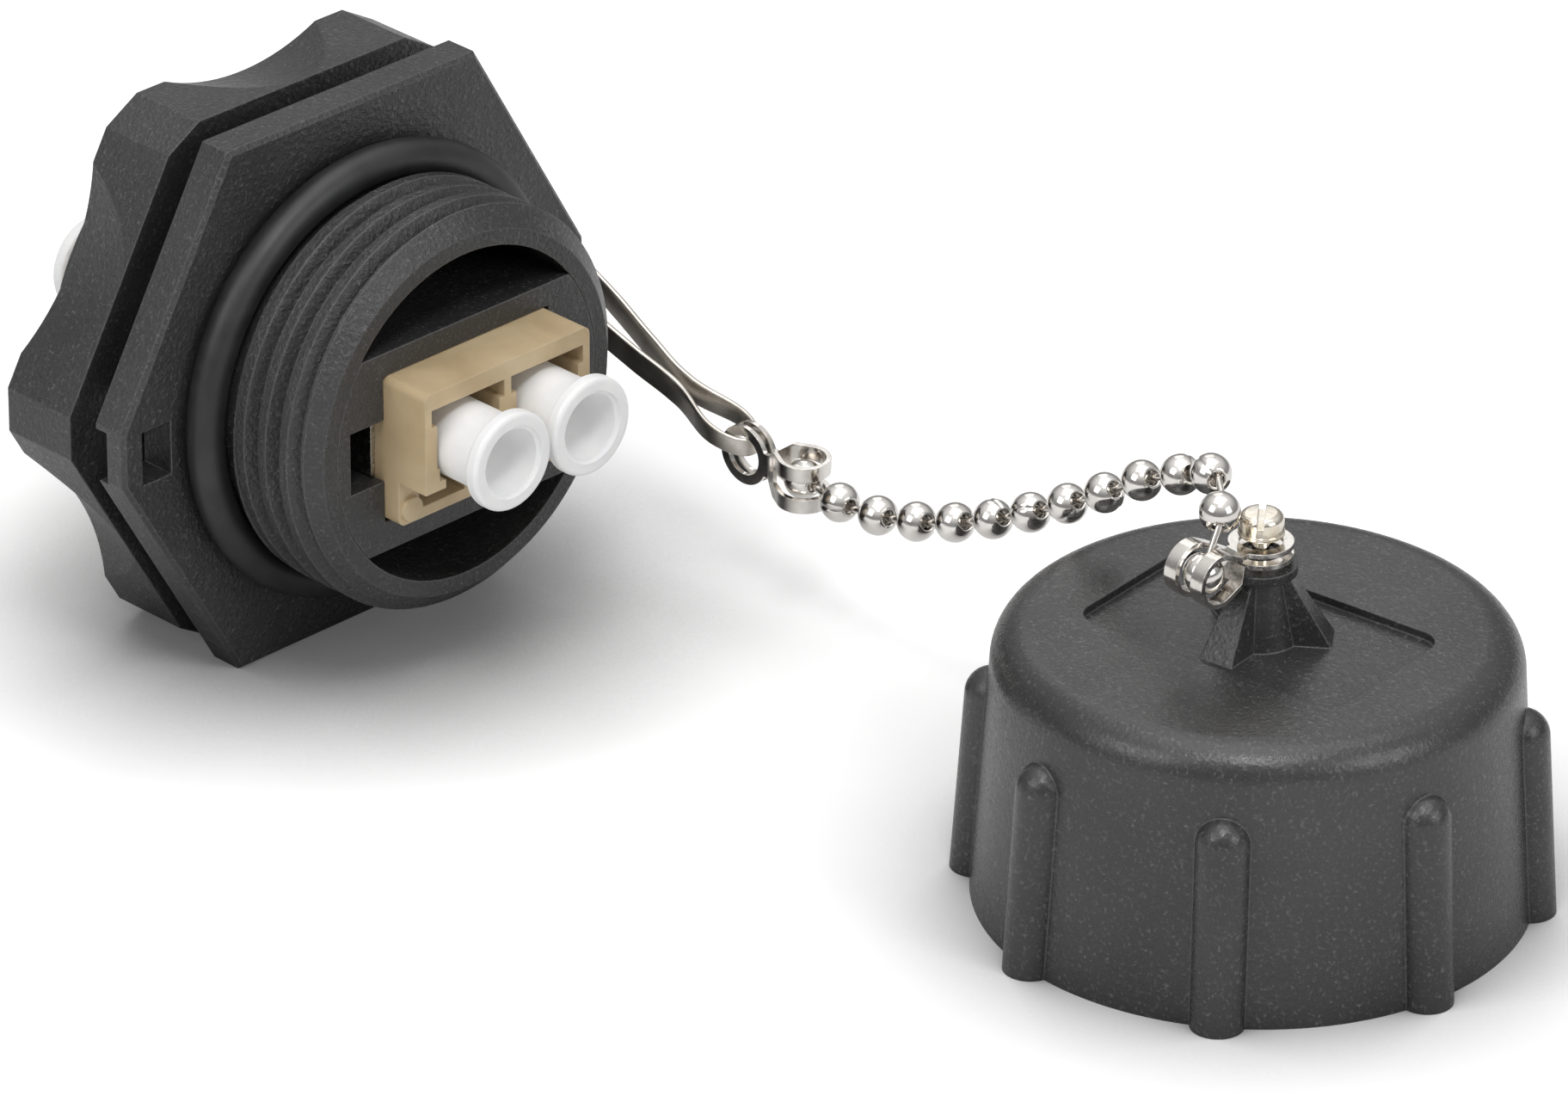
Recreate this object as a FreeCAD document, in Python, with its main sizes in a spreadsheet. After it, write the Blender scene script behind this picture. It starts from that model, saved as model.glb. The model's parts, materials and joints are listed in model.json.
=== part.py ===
import FreeCAD, Part
import math
import os
import Sketcher

# Sealed bulkhead coupler for a duplex LC fibre link, with its screw cap on a bead chain.
# Row frame, millimetres: X runs out of the panel along the coupler, Y along the pair of
# fibres, Z up. The origin is on the axis, in the flange's rear face, where the panel is.

doc = FreeCAD.newDocument("lc_fibre_adapter")
sheet = doc.addObject("Spreadsheet::Sheet", "sizes")

SIZES = [
    # housing: hexagonal flange, threaded spout in front, threaded barrel behind
    ("hex_flats", 33.4, "across the flats of flange and nut"),
    ("flange_thick", 2.3, "flange"),
    ("flange_trim", 1.0, "cut off the flange's two side corners"),
    ("flange_bevel", 0.25, "flange front edge"),
    ("thread_dia", 25.0, "spout and barrel over the crests"),
    ("spout_length", 9.2, "flange face to spout end"),
    ("spout_wall", 2.25, "spout and barrel, crests to bore"),
    ("spout_bevel", 1.25, "spout end, over the radius"),
    ("thread_pitch", 1.8, "round thread"),
    ("thread_depth", 0.75, "round thread"),
    ("furrow_back", 0.35, "first furrow behind the neck's end, in pitches"),
    ("furrow_half", 0.36, "half the furrow's mouth, in pitches"),
    ("furrow_floor", 0.12, "half the furrow's floor"),
    ("cut_over", 0.1, "how far a cutting shape reaches past what it cuts"),
    ("neck_step", 0.65, "seat of the front ring, below the crests"),
    ("neck_length", 2.35, "seat of the front ring"),
    ("barrel_length", 11.0, "rear barrel behind the flange"),
    ("web_front", 0.6, "front of the wall inside"),
    ("web_thick", 2.2, "wall inside"),
    ("slot_wide", 2.2, "tether slot, across"),
    ("slot_web", 1.4335, "web left outside the tether slot"),
    ("slot_tall", 3.4, "tether slot"),
    ("slot_drop", 0.3, "tether slot centre below the axis"),
    ("notch_deep", 0.9, "strap notch in the flange's rear face"),
    # seals
    ("ring_section", 2.26, "front ring, cord thickness"),
    ("seal_section", 1.1, "panel ring, cord thickness"),
    ("seal_dia", 27.2, "panel ring, centre to centre"),
    ("seal_squeeze", 0.0, "panel ring stands out of its groove"),
    ("groove_side", 0.05, "room beside the panel ring"),
    # nut
    ("panel_gap", 2.05, "flange to nut"),
    ("nut_thick", 5.35, "nut"),
    ("nut_trim", 0.8, "cut off the nut's six corners"),
    ("nut_clear", 0.06, "nut bore outside the thread"),
    ("scallop_chord", 11.8, "finger scallop on the rear edge"),
    ("scallop_deep", 1.3, "finger scallop on the rear edge"),
    # carrier of the inner adapter
    ("carrier_top", 6.12, "carrier above the axis"),
    ("carrier_bottom", 6.57, "carrier below the axis"),
    ("carrier_clear", 0.04, "carrier to spout bore"),
    ("recess_wall", 1.06, "carrier left outside the clip recess"),
    ("recess_top", 1.9, "clip recess above the axis"),
    ("recess_bottom", 2.05, "clip recess below the axis"),
    # inner duplex adapter
    ("block_wide", 13.0, "inner adapter"),
    ("block_tall", 9.26, "inner adapter"),
    ("block_out", 3.45, "inner adapter beyond the spout end"),
    ("block_half", 14.4, "one half of the inner adapter"),
    ("block_round", 0.5, "its long edges"),
    ("block_clear", 0.05, "inner adapter in its window"),
    ("fibre_pitch", 6.25, "between the two fibres"),
    ("fibre_high", 0.6, "fibres above the middle of the block"),
    ("port_top", 3.54, "port ceiling above the middle"),
    ("port_wide", 2.86, "port half width, above the rails"),
    ("rail_top", 2.45, "rails above the middle"),
    ("rail_wide", 2.46, "port half width, between the rails"),
    ("rail_low", 0.35, "rails end below the middle"),
    ("shelf_wide", 2.28, "port half width, below the rails"),
    ("shelf_low", 1.2, "shelf below the middle"),
    ("latch_wide", 1.8, "latch channel half width"),
    ("port_floor", 3.95, "port floor below the middle"),
    ("lip_low", 1.75, "front lip ends below the middle"),
    ("lip_set_back", 2.3, "lower front behind the lip"),
    ("wall_mid", 0.6, "cross wall, in each half"),
    ("tube_dia", 3.0, "sleeve holder"),
    ("tube_long", 3.9, "sleeve holder from the middle plane"),
    ("sleeve_dia", 1.7, "alignment sleeve"),
    ("sleeve_bore", 1.25, "alignment sleeve, the ferrule's size"),
    ("sleeve_long", 6.8, "alignment sleeve"),
    ("sleeve_slit", 0.2, "slit along the sleeve"),
    ("sleeve_clear", 0.04, "sleeve in its holder"),
    ("boss_dia", 1.5, "round boss on the foot"),
    ("boss_tall", 0.25, "round boss on the foot"),
    # clip of the inner adapter
    ("clip_thick", 0.3, "spring sheet"),
    ("clip_rear", 4.2, "clip starts in front of the panel plane"),
    ("clip_strap", 3.6, "clip strap width"),
    ("clip_front", 10.7, "clip leaves end"),
    ("clip_clear", 0.04, "clip beside the adapter"),
    # dust plugs
    ("boss_edge", 0.15, "corner boss from the adapter's side"),
    ("boss_low", 0.2, "corner boss from the adapter's underside"),
    ("leaf_gap", 0.15, "clip leaf to the recess's ends"),
    ("rim_soft", 0.3, "rounding of the plug's rim"),
    ("mouth_soft", 0.25, "rounding of the plug's mouth"),
    ("rim_back_soft", 0.2, "rounding of the rim's rear edge"),
    ("nose_taper", 0.7, "bevel of the plug's nose"),
    ("rim_dia", 6.06, "plug rim"),
    ("rim_thick", 0.9, "plug rim"),
    ("plug_dia", 4.7, "plug body"),
    ("plug_out", 3.75, "rim face beyond the adapter"),
    ("plug_long", 11.2, "whole plug"),
    ("mouth_dia", 4.0, "plug bore at the rim"),
    ("mouth_end", 2.4, "plug bore at its end"),
    ("mouth_deep", 3.5, "plug bore"),
    # tether strap
    ("strap_thick", 0.4, "tether strap"),
    ("strap_tall", 1.15, "tether strap"),
    ("strap_waist", 0.62, "gap between the strap's arms at their narrowest"),
    ("strap_flare", 2.2, "parallel part of the arms in front of the flange"),
    ("strap_neck", 6.2, "narrowest place from the loop's tip"),
    ("strap_reach", 15.1, "tether loop tip from the flange's front face"),
    ("strap_fall", 6.7, "tether loop tip below its start"),
    ("strap_sag", 0.8, "tether loop below its chord"),
    ("strap_lift", 0.6, "tether loop start above the slot's middle"),
    ("strap_back", 0.5, "strap behind the corner web"),
    ("strap_play", 0.25, "strap to the flange's corner web"),
    # couplings
    ("sheet_thick", 0.3, "coupling sheet"),
    ("sheet_gap", 0.4, "between the two eyes"),
    ("eye_dia", 3.7, "coupling eye"),
    ("eye_hole", 2.5, "coupling eye"),
    ("neck_wide", 1.5, "coupling neck"),
    ("neck_reach", 2.0, "neck from the eye's centre"),
    ("basket_reach", 4.5, "bead's seat from the eye's centre"),
    ("basket_wide", 2.95, "both bands with their slot"),
    ("basket_slot", 1.15, "slot between the bands"),
    ("bead_play", 0.12, "bead in its basket"),
    ("shoulder_turn", 121.0, "where the basket's round starts, degrees"),
    ("band_slope", 0.9, "coupling widens from its neck to its bands"),
    ("eye_back", 0.3, "coupling eye behind the strap's middle"),
    ("eye_low", 0.5, "coupling eye below the strap's middle"),
    ("strap_dip", 1.0, "tether coupling below level, degrees"),
    ("cap_turn", -92.0, "cap coupling's heading, degrees"),
    # bead chain
    ("bead_dia", 2.36, "bead"),
    ("bead_wall", 0.16, "bead"),
    ("bead_hole", 0.68, "bead"),
    ("link_dia", 0.4, "link pin"),
    ("link_head", 0.76, "link pin's heads"),
    ("link_gap", 1.45, "link pin between the two bead walls"),
    ("head_seat", 0.66, "head's centre inside the bead wall"),
    # cap
    ("cap_dia", 31.8, "at the mouth"),
    ("cap_top_dia", 29.9, "at the top"),
    ("cap_tall", 16.6, "without its post"),
    ("cap_round", 2.2, "top edge"),
    ("cap_roof", 3.2, "roof"),
    ("cap_clear", 0.3, "cap thread to spout thread"),
    ("cap_mouth", 29.0, "mouth, over the front ring"),
    ("cap_mouth_deep", 2.6, "mouth"),
    ("cap_lead", 0.5, "bevel inside the mouth"),
    ("rib_wide", 3.1, "grip rib"),
    ("rib_out", 1.3, "grip rib"),
    ("rib_tall", 12.7, "grip rib"),
    ("rib_turn", -54.0, "first rib, degrees"),
    ("panel_long", 17.8, "sunk panel in the roof"),
    ("panel_wide", 10.6, "sunk panel in the roof"),
    ("panel_round", 1.4, "its corners"),
    ("panel_deep", 0.5, "sunk panel in the roof"),
    ("panel_turn", 7.0, "sunk panel, degrees"),
    ("post_tall", 4.1, "three-armed post under its collar"),
    ("post_foot", 4.3, "arms at the foot, from the axis"),
    ("post_head", 1.6, "arms at the collar, from the axis"),
    ("core_foot", 2.35, "post core at the foot"),
    ("core_head", 1.3, "post core at the collar"),
    ("arm_wide", 2.2, "arm at the foot"),
    ("arm_head", 1.1, "arm at the collar"),
    ("arm_turn", -82.0, "first arm, degrees"),
    ("collar_dia", 4.2, "collar"),
    ("collar_thick", 0.55, "collar"),
    ("stem_dia", 1.9, "stem through the eyes"),
    ("eye_lift", 0.35, "lower eye above the collar"),
    ("screw_head", 2.66, "screw head"),
    ("screw_tall", 1.45, "screw head"),
    ("screw_lip", 0.3, "washer face under the screw head"),
    ("lip_step", 0.12, "washer face inside the screw head's edge"),
    ("head_side", 0.45, "straight side of the screw head, share of its height"),
    ("head_shoulder", 0.55, "crown of the screw head starts inside its edge"),
    ("head_crown", 0.9, "radius of the crown"),
    ("foot_sink", 0.2, "post sunk into the cap's roof"),
    ("hole_more", 0.3, "screw hole deeper than the screw"),
    ("screw_slot", 0.45, "screw slot"),
    ("screw_slot_deep", 0.6, "screw slot"),
    ("screw_shank", 1.4, "screw in the post"),
    ("screw_clear", 0.03, "screw in its hole"),
    ("screw_turn", -50.0, "screw slot's heading, degrees"),
    ("screw_long", 4.2, "screw in the post"),
]


class Dim:
    """A size that knows both its value and the sheet formula it comes from."""

    def __init__(self, value, text):
        self.value = value
        self.text = text

    def __add__(self, other):
        other = dim(other)
        return Dim(self.value + other.value, "(%s + %s)" % (self.text, other.text))

    def __sub__(self, other):
        other = dim(other)
        return Dim(self.value - other.value, "(%s - %s)" % (self.text, other.text))

    def __mul__(self, other):
        other = dim(other)
        return Dim(self.value * other.value, "(%s * %s)" % (self.text, other.text))

    def __truediv__(self, other):
        other = dim(other)
        return Dim(self.value / other.value, "(%s / %s)" % (self.text, other.text))

    def __neg__(self):
        return Dim(-self.value, "(0 - %s)" % self.text)

    def __radd__(self, other):
        return dim(other) + self

    def __rsub__(self, other):
        return dim(other) - self

    def __rmul__(self, other):
        return dim(other) * self


def dim(value):
    if isinstance(value, Dim):
        return value
    text = "%.6f" % value
    return Dim(float(value), text if value >= 0 else "(0 - %.6f)" % -value)


def root(value):
    return Dim(math.sqrt(value.value), "sqrt(%s)" % value.text)


def turn(degrees):
    """Cosine and sine of an angle in degrees."""
    degrees = dim(degrees)
    angle = math.radians(degrees.value)
    return (Dim(math.cos(angle), "cos(%s * 1 deg)" % degrees.text),
            Dim(math.sin(angle), "sin(%s * 1 deg)" % degrees.text))


size = {}
for row, (alias, value, note) in enumerate(SIZES, start=1):
    sheet.set("A%d" % row, note)
    sheet.set("B%d" % row, str(value))
    sheet.setAlias("B%d" % row, alias)
    size[alias] = Dim(value, "sizes." + alias)
doc.recompute()


# ---------------------------------------------------------------- modelling helpers

def bind(item, path, value):
    item.setExpression(path, dim(value).text)


def place(item, x=0, y=0, z=0, turned=None):
    """Put a piece at bound coordinates, turned about its own origin."""
    rotation = turned or FreeCAD.Rotation()
    spot = FreeCAD.Vector(dim(x).value, dim(y).value, dim(z).value)
    item.Placement = FreeCAD.Placement(spot, rotation)
    for axis, value in (("x", x), ("y", y), ("z", z)):
        if isinstance(value, Dim):
            bind(item, "Placement.Base." + axis, value)


def new_body(label):
    body = doc.addObject("PartDesign::Body", label)
    body.Label = label
    return body


def sketch_on(body, plane, name, offset=0):
    """A sketch on one of the body's own origin planes: XY_Plane, XZ_Plane or YZ_Plane."""
    sketch = body.newObject("Sketcher::SketchObject", name)
    support = [item for item in body.Origin.OriginFeatures if item.Role == plane][0]
    sketch.AttachmentSupport = [(support, "")]
    sketch.MapMode = "FlatFace"
    if isinstance(offset, Dim) or offset:
        spot = FreeCAD.Vector(0, 0, dim(offset).value)
        sketch.AttachmentOffset = FreeCAD.Placement(spot, FreeCAD.Rotation())
        bind(sketch, "AttachmentOffset.Base.z", offset)
    return sketch


def pin_point(sketch, geo, end, x, y):
    """Hold one end of a line or arc, or a centre, at bound coordinates."""
    for kind, value, axis in (("DistanceX", x, -2), ("DistanceY", y, -1)):
        if not isinstance(value, Dim) and value == 0:
            sketch.addConstraint(Sketcher.Constraint("PointOnObject", geo, end, axis))
            continue
        number = dim(value).value
        index = sketch.addConstraint(Sketcher.Constraint(kind, -1, 1, geo, end, number))
        bind(sketch, "Constraints[%d]" % index, value)


def circle(sketch, radius, x=0, y=0):
    centre = FreeCAD.Vector(dim(x).value, dim(y).value, 0)
    shape = Part.Circle(centre, FreeCAD.Vector(0, 0, 1), dim(radius).value)
    geo = sketch.addGeometry(shape, False)
    pin_point(sketch, geo, 3, x, y)
    index = sketch.addConstraint(Sketcher.Constraint("Radius", geo, dim(radius).value))
    bind(sketch, "Constraints[%d]" % index, radius)


def arc_between(start, end, radius, side):
    """Arc from start to end; side is +1 where its centre lies left of the way there."""
    chord = end - start
    middle = (start + end) * 0.5
    left = FreeCAD.Vector(-chord.y, chord.x, 0).normalize()
    rise = math.sqrt(max(radius * radius - chord.Length ** 2 / 4.0, 0.0))
    centre = middle + left * rise * side
    ends = (start, end) if side > 0 else (end, start)
    angles = [math.atan2(p.y - centre.y, p.x - centre.x) for p in ends]
    round_part = Part.Circle(centre, FreeCAD.Vector(0, 0, 1), radius)
    return Part.ArcOfCircle(round_part, angles[0], angles[1])


def outline(sketch, corners):
    """Closed outline. A corner is (x, y), or (x, y, radius, side) to reach it by an arc."""
    spots = [FreeCAD.Vector(dim(c[0]).value, dim(c[1]).value, 0) for c in corners]
    count = len(corners)
    pieces = []
    for i in range(count):
        start = spots[i - 1]
        corner = corners[i]
        if len(corner) == 2:
            geo = sketch.addGeometry(Part.LineSegment(start, spots[i]), False)
            pieces.append((geo, 1, 2))
            continue
        radius, side = corner[2], corner[3]
        shape = arc_between(start, spots[i], dim(radius).value, side)
        geo = sketch.addGeometry(shape, False)
        pieces.append((geo, 1, 2) if side > 0 else (geo, 2, 1))
        index = sketch.addConstraint(Sketcher.Constraint("Radius", geo, dim(radius).value))
        bind(sketch, "Constraints[%d]" % index, radius)
    for i in range(count):
        geo, first, last = pieces[i]
        after = pieces[(i + 1) % count]
        sketch.addConstraint(Sketcher.Constraint("Coincident", geo, last, after[0], after[1]))
        pin_point(sketch, geo, last, corners[i][0], corners[i][1])


def box_outline(sketch, x_low, x_high, y_low, y_high):
    outline(sketch, [(x_low, y_low), (x_high, y_low), (x_high, y_high), (x_low, y_high)])


def extrude(body, kind, sketch, name, length, reverse=False, both_ways=False, through=False):
    """A PartDesign Pad or Pocket of one sketch."""
    feature = body.newObject("PartDesign::" + kind, name)
    feature.Profile = sketch
    feature.Reversed = reverse
    if both_ways:
        feature.SideType = "Symmetric"
    if through:
        feature.Type = "ThroughAll"
    else:
        feature.Length = dim(length).value
        bind(feature, "Length", length)
    sketch.Visibility = False
    return feature


def revolve(body, kind, sketch, name, axis="H_Axis"):
    feature = body.newObject("PartDesign::" + kind, name)
    feature.Profile = sketch
    feature.ReferenceAxis = (sketch, [axis])
    feature.Angle = 360.0
    sketch.Visibility = False
    return feature


def around(body, features, name, axis_role, count, angle=360.0):
    """Repeat features about one of the body's own axes."""
    pattern = body.newObject("PartDesign::PolarPattern", name)
    pattern.Originals = features
    axis = [item for item in body.Origin.OriginFeatures if item.Role == axis_role][0]
    pattern.Axis = (axis, [""])
    pattern.Angle = angle
    pattern.Occurrences = count
    body.Tip = pattern
    return pattern


def edges_where(shape, test):
    return ["Edge%d" % (i + 1) for i, edge in enumerate(shape.Edges) if test(edge)]


def hexagon(half_flat, trim, all_corners):
    """Hexagon standing on a flat, its two side corners or all six of them cut off."""
    corner = half_flat * 2 / root(dim(3))
    points = []
    for k in range(6):
        cos_at, sin_at = turn(60 * k)
        if not all_corners and k % 3:
            points.append((corner * cos_at, corner * sin_at))
            continue
        for step in (-120, 120):
            cos_go, sin_go = turn(60 * k + step)
            points.append((corner * cos_at + trim * 2 * cos_go, corner * sin_at + trim * 2 * sin_go))
    return points


# ---------------------------------------------------------------- places worked out once

over = size["cut_over"]
half_flat = size["hex_flats"] / 2
thread_r = size["thread_dia"] / 2
bore_r = thread_r - size["spout_wall"]
neck_r = thread_r - size["neck_step"]
spout_end = size["flange_thick"] + size["spout_length"]
web_rear = size["web_front"] - size["web_thick"]
block_front = spout_end + size["block_out"]
block_mid = block_front - size["block_half"]
nut_rear = -(size["panel_gap"] + size["nut_thick"])
carrier_r = bore_r - size["carrier_clear"]
web_outer = half_flat * 2 / root(dim(3)) - size["flange_trim"]
slot_outer = web_outer - size["slot_web"]
slot_inner = slot_outer - size["slot_wide"]

nodes = []


def finish(item, tip=None):
    """Take a piece into the list of pieces to write."""
    if tip is not None:
        item.Tip = tip
    nodes.append(item)


# ---------------------------------------------------------------- housing

housing = new_body("housing")
flange_outline = sketch_on(housing, "YZ_Plane", "flange_outline")
outline(flange_outline, hexagon(half_flat, size["flange_trim"], False))
flange = extrude(housing, "Pad", flange_outline, "flange", size["flange_thick"])
doc.recompute()
front_edges = edges_where(flange.Shape, lambda e: all(
    abs(v.X - size["flange_thick"].value) < 1e-6 for v in e.Vertexes))
bevel = housing.newObject("PartDesign::Chamfer", "flange_bevel")
bevel.Base = (flange, front_edges)
bevel.Size = size["flange_bevel"].value
bind(bevel, "Size", size["flange_bevel"])

neck_end = size["flange_thick"] + size["neck_length"]
tube_section = sketch_on(housing, "XY_Plane", "tube_section")
outline(tube_section, [
    (-size["barrel_length"], bore_r),
    (web_rear, bore_r),
    (web_rear, 0),
    (size["web_front"], 0),
    (size["web_front"], bore_r),
    (spout_end, bore_r),
    (spout_end, thread_r - size["spout_bevel"]),
    (spout_end - size["spout_bevel"], thread_r),
    (neck_end, thread_r),
    (neck_end, neck_r),
    (size["flange_thick"] / 2, neck_r),
    (size["flange_thick"] / 2, thread_r),
    (-size["barrel_length"] + size["spout_bevel"] / 2, thread_r),
    (-size["barrel_length"], thread_r - size["spout_bevel"] / 2),
])
tube = revolve(housing, "Revolution", tube_section, "spout_and_barrel")

bore_sketch = sketch_on(housing, "YZ_Plane", "front_bore", size["web_front"])
circle(bore_sketch, bore_r)
front_bore = extrude(housing, "Pocket", bore_sketch, "front_bore_cut", size["spout_length"],
                     reverse=True)

window_sketch = sketch_on(housing, "YZ_Plane", "web_window")
box_outline(window_sketch, -size["block_wide"] / 2 - size["block_clear"],
            size["block_wide"] / 2 + size["block_clear"],
            -size["block_tall"] / 2 - size["block_clear"],
            size["block_tall"] / 2 + size["block_clear"])
window = extrude(housing, "Pocket", window_sketch, "web_window_cut", size["block_half"],
                 both_ways=True)

slot_mid = -size["slot_drop"]
slot_sketch = sketch_on(housing, "YZ_Plane", "tether_slots")
for side in (-1, 1):
    near, far = slot_inner * side, slot_outer * side
    low, high = (near, far) if side > 0 else (far, near)
    box_outline(slot_sketch, low, high, slot_mid - size["slot_tall"] / 2,
                slot_mid + size["slot_tall"] / 2)
slots = extrude(housing, "Pocket", slot_sketch, "tether_slot_cut", size["flange_thick"] * 4,
                both_ways=True)

notch_sketch = sketch_on(housing, "YZ_Plane", "strap_notches")
for side in (-1, 1):
    near, far = slot_outer * side, (web_outer + over) * side
    low, high = (near, far) if side > 0 else (far, near)
    box_outline(notch_sketch, low, high, slot_mid - size["slot_tall"] / 2,
                slot_mid + size["slot_tall"] / 2)
notches = extrude(housing, "Pocket", notch_sketch, "strap_notch_cut", size["notch_deep"],
                  reverse=True)

seal_r = size["seal_dia"] / 2
seal_groove = sketch_on(housing, "XY_Plane", "seal_groove")
groove_half = size["seal_section"] / 2 + size["groove_side"]
outline(seal_groove, [
    (-1, seal_r - groove_half),
    (size["seal_section"] - size["seal_squeeze"], seal_r - groove_half),
    (size["seal_section"] - size["seal_squeeze"], seal_r + groove_half),
    (-1, seal_r + groove_half),
])
groove = revolve(housing, "Groove", seal_groove, "seal_groove_cut")
doc.recompute()

# round thread: one rounded furrow wound round the spout and run out past its end
furrow = sketch_on(housing, "XY_Plane", "thread_furrow")
furrow_start = neck_end - size["thread_pitch"] * size["furrow_back"]
depth = size["thread_depth"]
half_mouth = size["thread_pitch"] * size["furrow_half"]
outline(furrow, [
    (furrow_start - half_mouth, thread_r + size["cut_over"]),
    (furrow_start - size["furrow_floor"], thread_r - depth),
    (furrow_start + size["furrow_floor"], thread_r - depth),
    (furrow_start + half_mouth, thread_r + size["cut_over"]),
])
helix = housing.newObject("PartDesign::SubtractiveHelix", "spout_thread")
helix.Profile = furrow
helix.ReferenceAxis = (furrow, ["H_Axis"])
helix.Mode = "pitch-height-angle"
helix.Pitch = size["thread_pitch"].value
helix.Height = (size["spout_length"] - size["neck_length"]).value
bind(helix, "Pitch", size["thread_pitch"])
bind(helix, "Height", size["spout_length"] - size["neck_length"])
furrow.Visibility = False
doc.recompute()
finish(housing, helix)


# ---------------------------------------------------------------- seals

def ring(label, radius, section, x):
    """O-ring round the coupler's axis."""
    torus = doc.addObject("Part::Torus", label)
    torus.Label = label
    bind(torus, "Radius1", radius)
    bind(torus, "Radius2", section / 2)
    place(torus, x, 0, 0, FreeCAD.Rotation(FreeCAD.Vector(0, 1, 0), 90))
    finish(torus)


ring("spout_ring", neck_r + size["ring_section"] / 2,
     size["ring_section"], size["flange_thick"] + size["ring_section"] / 2)
ring("panel_ring", seal_r, size["seal_section"], size["seal_section"] / 2 - size["seal_squeeze"])

# ---------------------------------------------------------------- lock nut

nut = new_body("lock_nut")
nut_outline = sketch_on(nut, "YZ_Plane", "nut_outline", -size["panel_gap"])
outline(nut_outline, hexagon(half_flat, size["nut_trim"], True))
nut_hex = extrude(nut, "Pad", nut_outline, "nut_hexagon", size["nut_thick"], reverse=True)
nut_bore = sketch_on(nut, "YZ_Plane", "nut_bore", -size["panel_gap"])
circle(nut_bore, thread_r + size["nut_clear"])
nut_hole = extrude(nut, "Pocket", nut_bore, "nut_bore_cut", size["nut_thick"])

# a slanting drum bites the rear edge of each flat and runs out at the front face
half_chord = size["scallop_chord"] / 2
drum_r = (half_chord * half_chord + size["scallop_deep"] * size["scallop_deep"]) \
    / (size["scallop_deep"] * 2)
front_scallop = sketch_on(nut, "YZ_Plane", "scallop_front", -size["panel_gap"])
circle(front_scallop, drum_r, 0, half_flat + drum_r)
rear_scallop = sketch_on(nut, "YZ_Plane", "scallop_rear", nut_rear)
circle(rear_scallop, drum_r, 0, half_flat - size["scallop_deep"] + drum_r)
scallop = nut.newObject("PartDesign::SubtractiveLoft", "scallop")
scallop.Profile = front_scallop
scallop.Sections = [rear_scallop]
scallop.Ruled = True
doc.recompute()
scallops = around(nut, [scallop], "scallops", "X_Axis", 6)
finish(nut)

# ---------------------------------------------------------------- carrier

carrier = new_body("adapter_carrier")
bar_sketch = sketch_on(carrier, "YZ_Plane", "bar_outline", size["web_front"])
top_y = root(carrier_r * carrier_r - size["carrier_top"] * size["carrier_top"])
low_y = root(carrier_r * carrier_r - size["carrier_bottom"] * size["carrier_bottom"])
outline(bar_sketch, [
    (low_y, -size["carrier_bottom"]),
    (top_y, size["carrier_top"], carrier_r, 1),
    (-top_y, size["carrier_top"]),
    (-low_y, -size["carrier_bottom"], carrier_r, 1),
])
bar = extrude(carrier, "Pad", bar_sketch, "bar", spout_end - size["web_front"])
mouth_sketch = sketch_on(carrier, "YZ_Plane", "adapter_window", size["web_front"])
wide = size["block_wide"] / 2 + size["block_clear"]
tall = size["block_tall"] / 2 + size["block_clear"]
reach = carrier_r - size["recess_wall"]
outline(mouth_sketch, [
    (-wide, -tall), (wide, -tall), (wide, -size["recess_bottom"]), (reach, -size["recess_bottom"]),
    (reach, size["recess_top"]), (wide, size["recess_top"]), (wide, tall), (-wide, tall),
    (-wide, size["recess_top"]), (-reach, size["recess_top"]),
    (-reach, -size["recess_bottom"]), (-wide, -size["recess_bottom"]),
])
mouth = extrude(carrier, "Pocket", mouth_sketch, "adapter_window_cut", spout_end,
                both_ways=True, through=True)
strap_sketch = sketch_on(carrier, "YZ_Plane", "clip_trench", size["web_front"])
clip_out = size["block_wide"] / 2 + size["clip_clear"] + size["clip_thick"]
clip_low = size["block_tall"] / 2 + size["clip_clear"] + size["clip_thick"]
room = size["clip_clear"]
box_outline(strap_sketch, -clip_out - room, clip_out + room, -clip_low - room,
            -size["recess_bottom"])
trench_end = size["clip_rear"] + size["clip_strap"] + size["cut_over"]
trench = extrude(carrier, "Pocket", strap_sketch, "clip_trench_cut",
                 trench_end - size["web_front"], reverse=True)
doc.recompute()
finish(carrier, trench)

# ---------------------------------------------------------------- inner duplex adapter


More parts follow.
